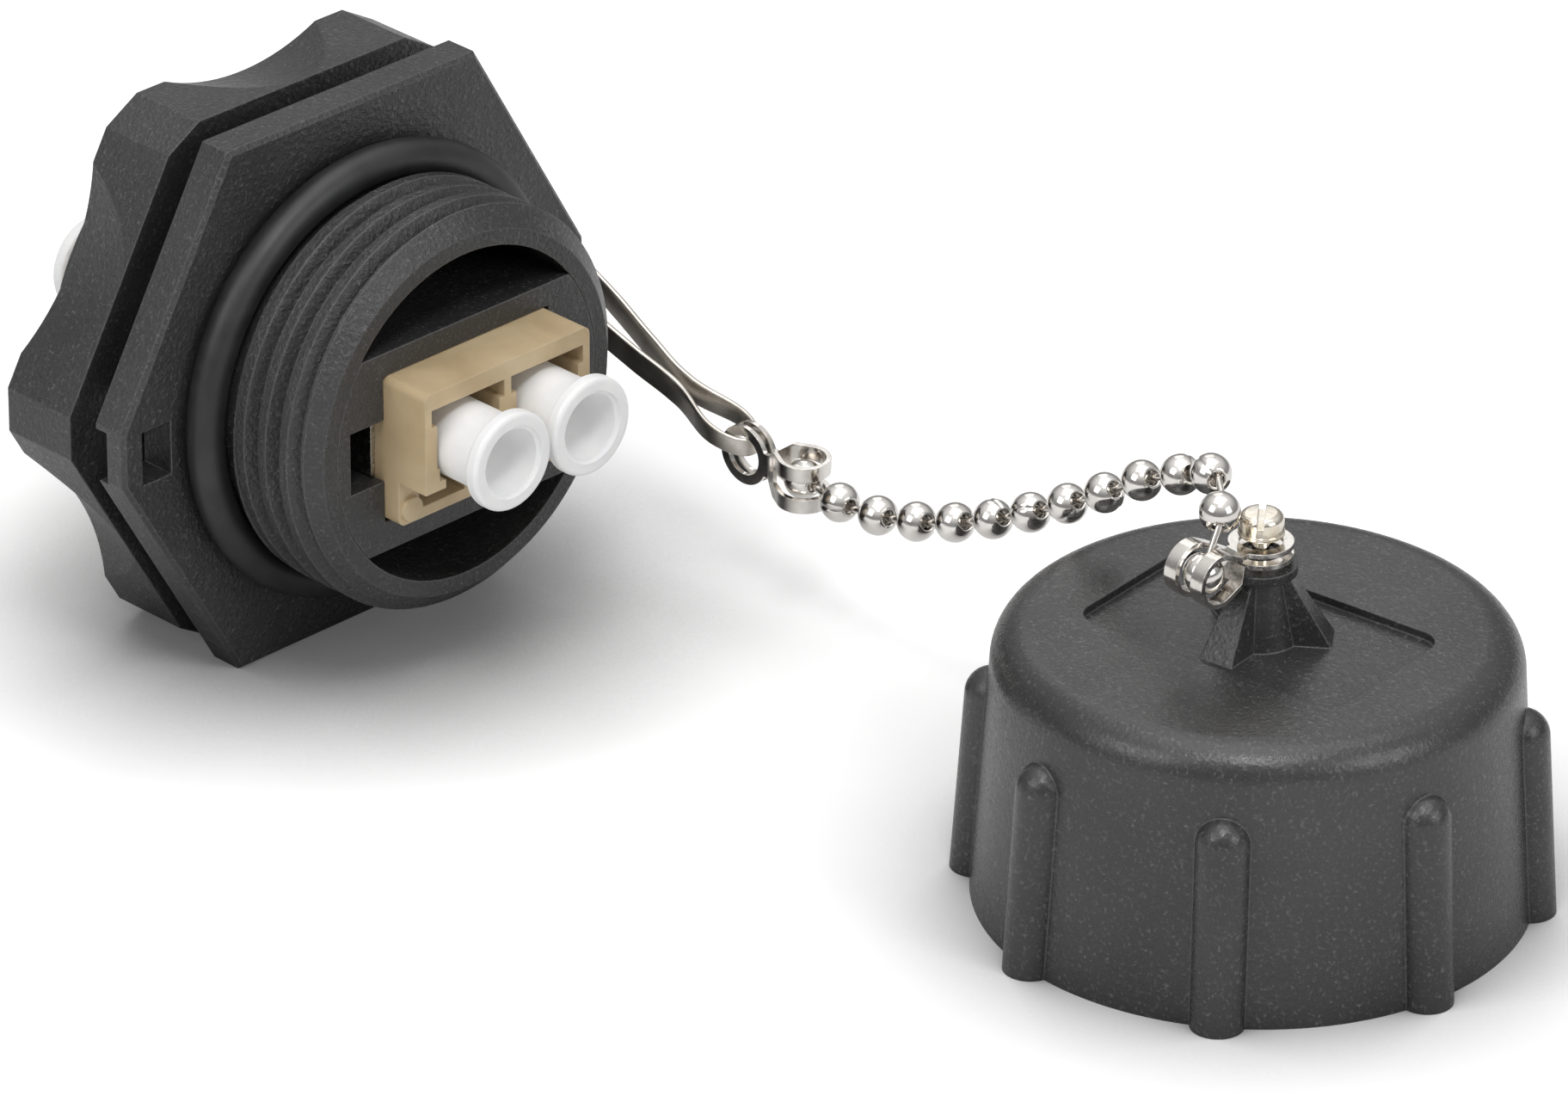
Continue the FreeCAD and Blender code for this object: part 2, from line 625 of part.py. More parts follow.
def adapter_half(label, faces_front):
    """One welded half: shell, two latched ports, cross wall, sleeve holders and feet."""
    body = new_body(label)
    shell_sketch = sketch_on(body, "YZ_Plane", "shell_" + label)
    half_y = size["block_wide"] / 2
    half_z = size["block_tall"] / 2
    soft = size["block_round"]
    outline(shell_sketch, [
        (half_y - soft, -half_z), (half_y, -half_z + soft, soft, 1),
        (half_y, half_z - soft), (half_y - soft, half_z, soft, 1),
        (-half_y + soft, half_z), (-half_y, half_z - soft, soft, 1),
        (-half_y, -half_z + soft), (-half_y + soft, -half_z, soft, 1),
    ])
    shell = extrude(body, "Pad", shell_sketch, "block_" + label, size["block_half"])
    ports_sketch = sketch_on(body, "YZ_Plane", "ports_" + label, size["wall_mid"])
    for side in (-1, 1):
        mid = size["fibre_pitch"] / 2 * side
        steps = [
            (size["latch_wide"], -size["port_floor"]), (size["latch_wide"], -size["shelf_low"]),
            (size["shelf_wide"], -size["shelf_low"]), (size["shelf_wide"], -size["rail_low"]),
            (size["rail_wide"], -size["rail_low"]), (size["rail_wide"], size["rail_top"]),
            (size["port_wide"], size["rail_top"]), (size["port_wide"], size["port_top"]),
        ]
        right = [(mid + half, high) for half, high in steps]
        left = [(mid - half, high) for half, high in reversed(steps)]
        outline(ports_sketch, right + left)
    ports = extrude(body, "Pocket", ports_sketch, "ports_cut_" + label, size["block_half"],
                    reverse=True)
    chin_sketch = sketch_on(body, "XZ_Plane", "chin_" + label)
    lip_back = size["block_half"] - size["lip_set_back"]
    box_outline(chin_sketch, lip_back, size["block_half"] + 1, -half_z - 1, -size["lip_low"])
    chin = extrude(body, "Pocket", chin_sketch, "chin_cut_" + label, size["block_wide"] * 2,
                   both_ways=True)
    boss_sketch = sketch_on(body, "YZ_Plane", "boss_" + label, lip_back)
    for side in (-1, 1):
        boss_y = (half_y - size["boss_dia"] / 2 - size["boss_edge"]) * side
        boss_z = -half_z + size["boss_dia"] / 2 + size["boss_low"]
        circle(boss_sketch, size["boss_dia"] / 2, boss_y, boss_z)
    boss = extrude(body, "Pad", boss_sketch, "bosses_" + label, size["boss_tall"])
    tube_sketch = sketch_on(body, "YZ_Plane", "tubes_" + label)
    bore_sketch = sketch_on(body, "YZ_Plane", "bores_" + label)
    for side in (-1, 1):
        mid = size["fibre_pitch"] / 2 * side
        circle(tube_sketch, size["tube_dia"] / 2, mid, size["fibre_high"])
        circle(bore_sketch, size["sleeve_dia"] / 2 + size["sleeve_clear"], mid, size["fibre_high"])
    tubes = extrude(body, "Pad", tube_sketch, "sleeve_tubes_" + label, size["tube_long"])
    bores = extrude(body, "Pocket", bore_sketch, "sleeve_bores_" + label, size["tube_long"],
                    reverse=True)
    doc.recompute()
    flip = FreeCAD.Rotation() if faces_front else FreeCAD.Rotation(FreeCAD.Vector(0, 0, 1), 180)
    place(body, block_mid, 0, 0, flip)
    finish(body, bores)


adapter_half("adapter_front_half", True)
adapter_half("adapter_rear_half", False)

for side, label in ((-1, "left_sleeve"), (1, "right_sleeve")):
    sleeve = new_body(label)
    sleeve_ring = sketch_on(sleeve, "YZ_Plane", "ring_" + label)
    circle(sleeve_ring, size["sleeve_dia"] / 2)
    circle(sleeve_ring, size["sleeve_bore"] / 2)
    sleeve_pad = extrude(sleeve, "Pad", sleeve_ring, "tube_" + label, size["sleeve_long"],
                         both_ways=True)
    slit_sketch = sketch_on(sleeve, "YZ_Plane", "slit_" + label)
    box_outline(slit_sketch, -size["sleeve_slit"] / 2, size["sleeve_slit"] / 2, 0,
                size["sleeve_dia"])
    slit = extrude(sleeve, "Pocket", slit_sketch, "slit_cut_" + label,
                   size["sleeve_long"] * 2, both_ways=True)
    place(sleeve, block_mid, size["fibre_pitch"] / 2 * side, size["fibre_high"])
    finish(sleeve, slit)

# spring clip: a strap under the inner adapter with a leaf up each side
clip = new_body("adapter_clip")
clip_sketch = sketch_on(clip, "YZ_Plane", "clip_section", size["clip_rear"])
inner_y = size["block_wide"] / 2 + size["clip_clear"]
inner_z = size["block_tall"] / 2 + size["clip_clear"]
leaf_top = size["recess_top"] - size["leaf_gap"]
outline(clip_sketch, [
    (-clip_out, leaf_top), (-clip_out, -clip_low), (clip_out, -clip_low), (clip_out, leaf_top),
    (inner_y, leaf_top), (inner_y, -inner_z), (-inner_y, -inner_z), (-inner_y, leaf_top),
])
clip_pad = extrude(clip, "Pad", clip_sketch, "clip_strap", size["clip_strap"])
leaf_sketch = sketch_on(clip, "YZ_Plane", "leaf_section", size["clip_rear"])
for side in (-1, 1):
    near, far = inner_y * side, clip_out * side
    low, high = (near, far) if side > 0 else (far, near)
    box_outline(leaf_sketch, low, high, size["leaf_gap"] - size["recess_bottom"], leaf_top)
leaves = extrude(clip, "Pad", leaf_sketch, "clip_leaves", size["clip_front"] - size["clip_rear"])
finish(clip, leaves)

# ---------------------------------------------------------------- dust plugs


def dust_plug(label, x, y, turned):
    """Hollow push-in plug, drawn with its rim face at x = 0 and its nose at -x."""
    plug = new_body(label)
    rim_r = size["rim_dia"] / 2
    body_r = size["plug_dia"] / 2
    soft = size["mouth_soft"]
    round_r = size["rim_soft"]
    back_r = size["rim_back_soft"]
    profile = sketch_on(plug, "XY_Plane", "profile_" + label)
    outline(profile, [
        (-size["plug_long"], 0), (-size["mouth_deep"], 0),
        (-size["mouth_deep"], size["mouth_end"] / 2), (-soft, size["mouth_dia"] / 2),
        (0, size["mouth_dia"] / 2 + soft, soft, -1), (0, rim_r - round_r),
        (-round_r, rim_r, round_r, 1), (-size["rim_thick"] + back_r, rim_r),
        (-size["rim_thick"], rim_r - back_r, back_r, 1), (-size["rim_thick"], body_r),
        (-size["plug_long"] + size["nose_taper"], body_r),
        (-size["plug_long"], body_r - size["nose_taper"]),
    ])
    solid = revolve(plug, "Revolution", profile, "turned_" + label)
    place(plug, x, y, size["fibre_high"], turned)
    finish(plug, solid)


about_z = FreeCAD.Rotation(FreeCAD.Vector(0, 0, 1), 180)
for side, name in ((-1, "left"), (1, "right")):
    across = size["fibre_pitch"] / 2 * side
    dust_plug("front_dust_plug_" + name, block_front + size["plug_out"], across, None)
    dust_plug("rear_dust_plug_" + name,
              block_mid - size["block_half"] - size["plug_out"], across, about_z)


# ---------------------------------------------------------------- tether strap

def blank(label, plane, corners, length, offset=0, both_ways=True):
    """Straight block of one outline, to be shaped by another one across it."""
    body = new_body(label)
    sketch = sketch_on(body, plane, label + "_outline", offset)
    for points in corners:
        outline(sketch, points)
    return body, extrude(body, "Pad", sketch, label + "_pad", length, both_ways=both_ways)


def common(label, first, second):
    piece = doc.addObject("Part::Common", label)
    piece.Label = label
    piece.Base = first
    piece.Tool = second
    return piece


loop_inner = slot_outer - size["strap_play"]
loop_outer = web_outer + size["strap_play"]
loop_mid = (loop_inner + loop_outer) / 2
loop_r = (loop_outer - loop_inner) / 2
thick = size["strap_thick"]
loop_rear = size["notch_deep"] - size["strap_back"]
loop_tip = size["flange_thick"] + size["strap_reach"]
nose = loop_tip - thick - loop_r
flare_x = size["flange_thick"] + size["strap_flare"]
neck_x = loop_tip - size["strap_neck"]
waist = size["strap_waist"] / 2
loop_plan, loop_plan_pad = blank("loop_plan", "XY_Plane", [
    [(loop_rear - thick, loop_inner - thick), (flare_x, loop_inner - thick),
     (neck_x, loop_mid - waist - thick), (nose, loop_inner - thick),
     (loop_tip, loop_mid, loop_r + thick, 1), (nose, loop_outer + thick, loop_r + thick, 1),
     (neck_x, loop_mid + waist + thick), (flare_x, loop_outer + thick),
     (loop_rear - thick, loop_outer + thick)],
    [(loop_rear, loop_inner), (flare_x, loop_inner), (neck_x, loop_mid - waist),
     (nose, loop_inner), (loop_tip - thick, loop_mid, loop_r, 1),
     (nose, loop_outer, loop_r, 1), (neck_x, loop_mid + waist), (flare_x, loop_outer),
     (loop_rear, loop_outer)],
], size["strap_fall"] * 4)
strap_half = size["strap_tall"] / 2
strap_start = slot_mid + size["strap_lift"]
strap_end = strap_start - size["strap_fall"]
run = loop_tip + over - (loop_rear - thick - over)
sag = size["strap_sag"]
sweep_r = ((run * run + size["strap_fall"] * size["strap_fall"]) / 4 + sag * sag) / (sag * 2)
loop_side, loop_side_pad = blank("loop_side", "XZ_Plane", [
    [(loop_rear - thick - over, strap_start - strap_half),
     (loop_tip + over, strap_end - strap_half, sweep_r, 1),
     (loop_tip + over, strap_end + strap_half),
     (loop_rear - thick - over, strap_start + strap_half, sweep_r, -1)],
], web_outer * 3)
tether = common("tether_loop", loop_plan, loop_side)
finish(tether)

# ---------------------------------------------------------------- couplings


def coupling(label):
    """Sheet clasp: two eyes, folded over a bead that two bands hold between them.

    It is drawn with its eyes round the origin, their axis on Z and the basket along +X.
    """
    eye_r = size["eye_dia"] / 2
    gap = size["sheet_gap"] / 2
    skin = gap + size["sheet_thick"]
    seat = size["bead_dia"] / 2 + size["bead_play"]
    seat_outer = seat + size["sheet_thick"]
    far = size["basket_reach"]
    cos_at, sin_at = turn(size["shoulder_turn"])

    neck = size["neck_reach"]
    fold, fold_pad = blank(label + "_fold", "XZ_Plane", [[
        (-eye_r - 1, -skin), (neck, -skin), (far + seat_outer * cos_at, -seat_outer * sin_at),
        (far + seat_outer, 0, seat_outer, 1),
        (far + seat_outer * cos_at, seat_outer * sin_at, seat_outer, 1),
        (neck, skin), (-eye_r - 1, skin), (-eye_r - 1, gap), (neck, gap),
        (far + seat * cos_at, seat * sin_at), (far + seat, 0, seat, -1),
        (far + seat * cos_at, -seat * sin_at, seat, -1), (neck, -gap), (-eye_r - 1, -gap),
    ]], size["eye_dia"] * 2)
    half_neck = size["neck_wide"] / 2
    half_band = size["basket_wide"] / 2
    half_slot = size["basket_slot"] / 2
    join = root(eye_r * eye_r - half_neck * half_neck)
    end = far + seat_outer + 1
    plan, plan_pad = blank(label + "_plan", "XY_Plane", [[
        (neck, -half_neck), (neck + size["band_slope"], -half_band), (end, -half_band),
        (end, -half_slot), (neck + 1.0, -half_slot), (neck + 1.0, half_slot), (end, half_slot),
        (end, half_band), (neck + size["band_slope"], half_band), (neck, half_neck), (join, half_neck),
        (-eye_r, 0, eye_r, 1), (join, -half_neck, eye_r, 1),
    ]], seat_outer * 4)
    hole_sketch = sketch_on(plan, "XY_Plane", label + "_hole")
    circle(hole_sketch, size["eye_hole"] / 2)
    extrude(plan, "Pocket", hole_sketch, label + "_hole_cut", seat_outer * 8, both_ways=True)
    piece = common(label, plan, fold)
    finish(piece)
    return piece


def heading(level, rise):
    """Unit vector at a heading about Z and a rise above level, in degrees."""
    level, rise = math.radians(level), math.radians(rise)
    return FreeCAD.Vector(math.cos(level) * math.cos(rise), math.sin(level) * math.cos(rise),
                          math.sin(rise))


x_axis = FreeCAD.Vector(1, 0, 0)
y_axis = FreeCAD.Vector(0, 1, 0)
z_axis = FreeCAD.Vector(0, 0, 1)

# the strap's tip lies in the upper front of the eyes it carries
eye_spot = FreeCAD.Vector((loop_tip - thick / 2 - size["eye_back"]).value, loop_mid.value,
                          (strap_end - size["eye_low"]).value)
left_coupling = coupling("tether_coupling")
dip = FreeCAD.Rotation(y_axis, size["strap_dip"].value)
left_coupling.Placement = FreeCAD.Placement(
    eye_spot, dip.multiply(FreeCAD.Rotation(x_axis, 90)))

# ---------------------------------------------------------------- bead chain

# how each link lies between its two beads: heading about Z, rise above level
LINKS = [(-10, -2), (-7, 11), (-6, 16), (-5, 21), (-5, 25), (-5, 28), (-5, 30), (-5, 31),
         (-4, 35), (-4, 24), (-13, 32), (-38, -10), (-80, -57)]
wall_r = (size["bead_dia"].value - size["bead_wall"].value) / 2
floor = -half_flat.value
eye_height = (size["cap_tall"] - size["panel_deep"] + size["post_tall"] + size["collar_thick"]
              + size["eye_lift"] + size["sheet_thick"] + size["sheet_gap"] / 2)


def lay_chain(lift):
    """Bead centres, bead directions, and each link's start and end, all links raised by lift."""
    ways = [heading(level, rise + lift) for level, rise in LINKS]
    turns = [ways[0]]
    turns += [(ways[i] + ways[i + 1]).normalize() for i in range(len(ways) - 1)]
    turns += [ways[-1]]
    spot = eye_spot + dip.multVec(x_axis) * size["basket_reach"].value
    centres, pins = [spot], []
    for i, way in enumerate(ways):
        start = spot + turns[i] * wall_r
        end = start + way * size["link_gap"].value
        spot = end + turns[i + 1] * wall_r
        centres.append(spot)
        pins.append((start, end))
    return centres, turns, pins


# the links are raised alike until the last bead is level with the cap's eyes
low_lift, high_lift = -25.0, 25.0
target = floor + eye_height.value
for step in range(40):
    middle = (low_lift + high_lift) / 2
    if lay_chain(middle)[0][-1].z < target:
        low_lift = middle
    else:
        high_lift = middle
centres, turns, pins = lay_chain(middle)

bead_r = size["bead_dia"] / 2
inner_r = bead_r - size["bead_wall"]
hole_r = size["bead_hole"] / 2
out_x = root(bead_r * bead_r - hole_r * hole_r)
in_x = root(inner_r * inner_r - hole_r * hole_r)
for i, centre in enumerate(centres):
    label = "bead_%02d" % (i + 1)
    bead = new_body(label)
    half_section = sketch_on(bead, "XY_Plane", label + "_section")
    outline(half_section, [
        (out_x, hole_r), (-out_x, hole_r, bead_r, 1), (-in_x, hole_r),
        (in_x, hole_r, inner_r, -1),
    ])
    shell = revolve(bead, "Revolution", half_section, label + "_shell")
    bead.Placement = FreeCAD.Placement(centre, FreeCAD.Rotation(x_axis, turns[i]))
    finish(bead)

head_r = size["link_head"] / 2
pin_r = size["link_dia"] / 2
head_x = size["link_gap"] / 2 + size["head_seat"]
meet_x = root(head_r * head_r - pin_r * pin_r)
for i, (start, end) in enumerate(pins):
    label = "link_%02d" % (i + 1)
    link = new_body(label)
    half_section = sketch_on(link, "XY_Plane", label + "_section")
    outline(half_section, [
        (-head_x - head_r, 0), (-head_x + meet_x, pin_r, head_r, -1),
        (head_x - meet_x, pin_r), (head_x + head_r, 0, head_r, -1),
    ])
    rod = revolve(link, "Revolution", half_section, label + "_rod")
    link.Placement = FreeCAD.Placement((start + end) * 0.5,
                                       FreeCAD.Rotation(x_axis, end - start))
    finish(link)

# ---------------------------------------------------------------- cap coupling

cap_heading = heading(size["cap_turn"].value, 0)
post_spot = centres[-1] - cap_heading * size["basket_reach"].value
right_coupling = coupling("cap_coupling")
right_coupling.Placement = FreeCAD.Placement(
    post_spot, FreeCAD.Rotation(z_axis, size["cap_turn"].value))

# ---------------------------------------------------------------- screw cap


def swung(points, degrees):
    """The same outline turned about the origin."""
    cos_at, sin_at = turn(degrees)
    return [tuple([dim(p[0]) * cos_at - dim(p[1]) * sin_at,
                   dim(p[0]) * sin_at + dim(p[1]) * cos_at] + list(p[2:])) for p in points]


cap = new_body("screw_cap")
foot_r = size["cap_dia"] / 2
top_r = size["cap_top_dia"] / 2
tall = size["cap_tall"]
cap_bore = thread_r - size["thread_depth"] + size["cap_clear"]
mouth_r = size["cap_mouth"] / 2
cap_section = sketch_on(cap, "XZ_Plane", "cap_section")
outline(cap_section, [
    (mouth_r + size["cap_lead"], 0), (foot_r, 0), (top_r, tall - size["cap_round"]),
    (top_r - size["cap_round"], tall, size["cap_round"], 1), (0, tall),
    (0, tall - size["cap_roof"]), (cap_bore, tall - size["cap_roof"]),
    (cap_bore, size["cap_mouth_deep"] + size["cap_lead"]),
    (cap_bore + size["cap_lead"], size["cap_mouth_deep"]), (mouth_r, size["cap_mouth_deep"]),
    (mouth_r, size["cap_lead"]),
])
cup = revolve(cap, "Revolution", cap_section, "cup", "V_Axis")

rib_r = size["rib_wide"] / 2
slope = (foot_r - top_r) / (tall - size["cap_round"])
dome_high = size["rib_tall"] - rib_r
rib_foot = foot_r + size["rib_out"] - rib_r
rib_top = rib_foot - slope * dome_high
rib_low = sketch_on(cap, "XY_Plane", "rib_low")
circle(rib_low, rib_r, rib_foot, 0)
rib_high = sketch_on(cap, "XY_Plane", "rib_high", dome_high)
circle(rib_high, rib_r, rib_top, 0)
rib = cap.newObject("PartDesign::AdditiveLoft", "rib")
rib.Profile = rib_low
rib.Sections = [rib_high]
rib.Ruled = True
dome_section = sketch_on(cap, "XZ_Plane", "dome_section")
outline(dome_section, [
    (rib_top, dome_high), (rib_top + rib_r, dome_high),
    (rib_top, dome_high + rib_r, rib_r, 1),
])
spine = dome_section.addGeometry(Part.LineSegment(
    FreeCAD.Vector(rib_top.value, 0, 0), FreeCAD.Vector(rib_top.value, 1, 0)), True)
pin_point(dome_section, spine, 1, rib_top, 0)
pin_point(dome_section, spine, 2, rib_top, 1)
dome = revolve(cap, "Revolution", dome_section, "rib_dome", "Axis0")
doc.recompute()
ribs = around(cap, [rib, dome], "ribs", "Z_Axis", 8)
doc.recompute()

# the ribs reach inward past the wall, so the inside is cleared again
clearing = sketch_on(cap, "XZ_Plane", "clearing")
outline(clearing, [
    (0, -1), (mouth_r + size["cap_lead"], -1), (mouth_r + size["cap_lead"], 0),
    (mouth_r, size["cap_lead"]), (mouth_r, size["cap_mouth_deep"]),
    (cap_bore + size["cap_lead"], size["cap_mouth_deep"]),
    (cap_bore, size["cap_mouth_deep"] + size["cap_lead"]),
    (cap_bore, tall - size["cap_roof"]), (0, tall - size["cap_roof"]),
])
cleared = revolve(cap, "Groove", clearing, "cleared_inside", "V_Axis")

sunk_sketch = sketch_on(cap, "XY_Plane", "sunk_panel", tall)
half_long = size["panel_long"] / 2
half_wide = size["panel_wide"] / 2
soft = size["panel_round"]
outline(sunk_sketch, swung([
    (half_long - soft, -half_wide), (half_long, -half_wide + soft, soft, 1),
    (half_long, half_wide - soft), (half_long - soft, half_wide, soft, 1),
    (-half_long + soft, half_wide), (-half_long, half_wide - soft, soft, 1),
    (-half_long, -half_wide + soft), (-half_long + soft, -half_wide, soft, 1),
], size["panel_turn"] - size["rib_turn"]))
sunk = extrude(cap, "Pocket", sunk_sketch, "sunk_panel_cut", size["panel_deep"])


def arms(name, high, reach, width):
    """Three-armed star, its arms a third of a turn apart."""
    sketch = sketch_on(cap, "XY_Plane", name, high)
    points = []
    for k in range(3):
        angle = size["arm_turn"] - size["rib_turn"] + 120 * k
        points += swung([(reach, -width / 2), (reach, width / 2)], angle)
        points += swung([(width / root(dim(3)), 0)], angle + 60)
    outline(sketch, points)
    return sketch


foot_high = tall - size["panel_deep"]
head_high = foot_high + size["post_tall"]
star_foot = arms("star_foot", foot_high - size["foot_sink"], size["post_foot"], size["arm_wide"])
star_head = arms("star_head", head_high, size["post_head"], size["arm_head"])
star = cap.newObject("PartDesign::AdditiveLoft", "star_post")
star.Profile = star_foot
star.Sections = [star_head]
star.Ruled = True
core_low = sketch_on(cap, "XY_Plane", "core_low", foot_high - size["foot_sink"])
circle(core_low, size["core_foot"])
core_high = sketch_on(cap, "XY_Plane", "core_high", head_high)
circle(core_high, size["core_head"])
core = cap.newObject("PartDesign::AdditiveLoft", "post_core")
core.Profile = core_low
core.Sections = [core_high]
core.Ruled = True
collar_sketch = sketch_on(cap, "XY_Plane", "collar", head_high)
circle(collar_sketch, size["collar_dia"] / 2)
collar = extrude(cap, "Pad", collar_sketch, "collar_pad", size["collar_thick"])
screw_hole = sketch_on(cap, "XY_Plane", "screw_hole", head_high + size["collar_thick"])
circle(screw_hole, size["screw_shank"] / 2 + size["screw_clear"])
drilled = extrude(cap, "Pocket", screw_hole, "screw_hole_cut", size["screw_long"] + size["hole_more"])
doc.recompute()
place(cap, post_spot.x, post_spot.y, -half_flat,
      FreeCAD.Rotation(z_axis, size["rib_turn"].value))
finish(cap, drilled)

screw = new_body("cap_screw")
head_start = (size["eye_lift"] * 2 + size["sheet_thick"] * 2 + size["sheet_gap"])
head_r = size["screw_head"] / 2
lip_top = head_start + size["screw_lip"]
screw_section = sketch_on(screw, "XZ_Plane", "screw_section")
outline(screw_section, [
    (0, -size["screw_long"]), (size["screw_shank"] / 2, -size["screw_long"]),
    (size["screw_shank"] / 2, 0), (size["stem_dia"] / 2, 0), (size["stem_dia"] / 2, head_start),
    (head_r - size["lip_step"], head_start), (head_r - size["lip_step"], lip_top),
    (head_r, lip_top), (head_r, lip_top + size["screw_tall"] * size["head_side"]),
    (head_r - size["head_shoulder"], lip_top + size["screw_tall"], size["head_crown"], 1),
    (0, lip_top + size["screw_tall"]),
])
turned_screw = revolve(screw, "Revolution", screw_section, "turned_screw", "V_Axis")
cut_sketch = sketch_on(screw, "XY_Plane", "driver_slot", lip_top + size["screw_tall"])
half_cut = size["screw_slot"] / 2
outline(cut_sketch, swung([
    (-head_r - over, -half_cut), (head_r + over, -half_cut), (head_r + over, half_cut),
    (-head_r - over, half_cut)], size["screw_turn"]))
driver = extrude(screw, "Pocket", cut_sketch, "driver_slot_cut", size["screw_slot_deep"])
collar_top = head_high + size["collar_thick"]
place(screw, post_spot.x, post_spot.y, collar_top - half_flat)
finish(screw, driver)

# ---------------------------------------------------------------- check and write

doc.recompute()
for item in doc.Objects:
    if any(word in item.State for word in ("Invalid", "Error")):
        raise ValueError("%s did not build: %s" % (item.Name, item.State))
os.makedirs("parts", exist_ok=True)
for item in nodes:
    shape = item.Shape
    if shape.isNull() or not shape.isValid() or len(shape.Solids) != 1:
        raise ValueError("%s is not one sound solid" % item.Label)
    shape.exportStep("parts/%s.step" % item.Label)
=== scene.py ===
import json
import math

import bpy
from mathutils import Matrix, Vector


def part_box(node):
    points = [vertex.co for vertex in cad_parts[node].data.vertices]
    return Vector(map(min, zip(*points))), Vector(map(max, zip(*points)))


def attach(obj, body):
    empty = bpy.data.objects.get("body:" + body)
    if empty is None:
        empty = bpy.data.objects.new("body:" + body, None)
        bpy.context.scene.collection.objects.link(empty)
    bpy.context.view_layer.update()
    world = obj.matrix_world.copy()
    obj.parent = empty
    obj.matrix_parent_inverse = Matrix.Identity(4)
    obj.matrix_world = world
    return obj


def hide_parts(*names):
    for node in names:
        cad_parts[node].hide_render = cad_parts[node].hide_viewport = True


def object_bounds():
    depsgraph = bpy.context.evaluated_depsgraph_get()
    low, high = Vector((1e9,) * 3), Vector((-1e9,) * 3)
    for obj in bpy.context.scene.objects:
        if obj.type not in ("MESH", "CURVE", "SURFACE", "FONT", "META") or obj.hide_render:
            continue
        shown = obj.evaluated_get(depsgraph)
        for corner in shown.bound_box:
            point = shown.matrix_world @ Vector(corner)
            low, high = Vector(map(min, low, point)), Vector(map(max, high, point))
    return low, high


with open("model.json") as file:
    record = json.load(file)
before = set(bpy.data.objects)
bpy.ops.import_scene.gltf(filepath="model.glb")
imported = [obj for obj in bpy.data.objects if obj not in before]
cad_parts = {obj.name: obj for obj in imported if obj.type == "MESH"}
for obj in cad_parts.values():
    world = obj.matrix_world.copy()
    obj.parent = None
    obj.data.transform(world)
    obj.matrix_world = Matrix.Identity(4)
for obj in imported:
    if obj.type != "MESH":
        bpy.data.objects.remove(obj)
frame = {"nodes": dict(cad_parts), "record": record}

bl_info = {
    "name": "Sealed fibre coupler",
    "version": (1, 0, 0),
    "blender": (4, 5, 0),
    "location": "View3D > Sidebar > Coupler",
    "description": "Finishes, chain, strap, screw, inner thread and studio for a sealed coupler",
    "category": "Object",
}

CAD_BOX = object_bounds()
MM = 0.001
BEADS = ["bead_%02d" % number for number in range(1, 15)]
LINKS = ["link_%02d" % number for number in range(1, 14)]
PLUGS = ["front_dust_plug_left", "front_dust_plug_right",
         "rear_dust_plug_left", "rear_dust_plug_right"]


# ------------------------------------------------------------------ nodes and colours

# The sockets of a Mix node that is set to mix colours.
MIX_FIRST, MIX_SECOND, MIX_RESULT = 6, 7, 2


def linear(hex_text):
    """An sRGB hex colour as a linear colour with alpha 1."""
    parts = [int(hex_text[at:at + 2], 16) / 255 for at in (1, 3, 5)]
    return tuple(p / 12.92 if p <= 0.04045 else ((p + 0.055) / 1.055) ** 2.4
                 for p in parts) + (1.0,)


def tone(value):
    """A hex text, a linear grey or a linear colour, as a linear colour with alpha."""
    if isinstance(value, str):
        return linear(value)
    if isinstance(value, float):
        return (value,) * 3 + (1.0,)
    return tuple(value)


def add(tree, kind, inputs=None, stops=(), **settings):
    """Adds a node with its settings. inputs maps a socket's name or number to a value or to another
    node's output, and stops are the places and colours of a colour ramp."""
    node = tree.nodes.new(kind)
    for name, value in settings.items():
        setattr(node, name, value)
    for socket, value in (inputs or {}).items():
        if isinstance(value, bpy.types.NodeSocket):
            tree.links.new(value, node.inputs[socket])
        else:
            node.inputs[socket].default_value = tone(value) if isinstance(value, str) else value
    if stops:
        elements = node.color_ramp.elements
        while len(elements) < len(stops):
            elements.new(0.5)
        for element, (place, colour) in zip(elements, stops):
            element.position = place
            element.color = tone(colour)
    return node


def new_material(name):
    """An empty node material; returns it, its node tree and the Object coordinates."""
    material = bpy.data.materials.new(name)
    material.use_nodes = True
    material.node_tree.nodes.clear()
    place = add(material.node_tree, "ShaderNodeTexCoord").outputs["Object"]
    return material, material.node_tree, place


def show(tree, inputs):
    """Ends a material's nodes with a Principled shader that has these inputs."""
    shader = add(tree, "ShaderNodeBsdfPrincipled", inputs)
    add(tree, "ShaderNodeOutputMaterial", {"Surface": shader.outputs["BSDF"]})


def grains(size_mm):
    """The noise scale that gives features of this size on coordinates in metres."""
    return 1.0 / (size_mm * MM)


def rounded_edges_and_highlight(tree, radius_mm, samples, flat, turned, strength):
    """The normal with its edges rounded off, and a mask of those edges where a painted highlight
    goes.
    The mask grows from 0 to strength as the cosine between the rounded and the flat normal falls
    from flat to turned."""
    rounded = add(tree, "ShaderNodeBevel", {"Radius": radius_mm * MM}, samples=samples)
    surface = add(tree, "ShaderNodeNewGeometry")
    cosine = add(tree, "ShaderNodeVectorMath",
                 {0: rounded.outputs["Normal"], 1: surface.outputs["Normal"]},
                 operation="DOT_PRODUCT")
    mask = add(tree, "ShaderNodeMapRange",
               {"Value": cosine.outputs["Value"], "From Min": flat, "From Max": turned,
                "To Min": 0.0, "To Max": strength})
    return rounded.outputs["Normal"], mask.outputs["Result"]


# ------------------------------------------------------------------ finishes

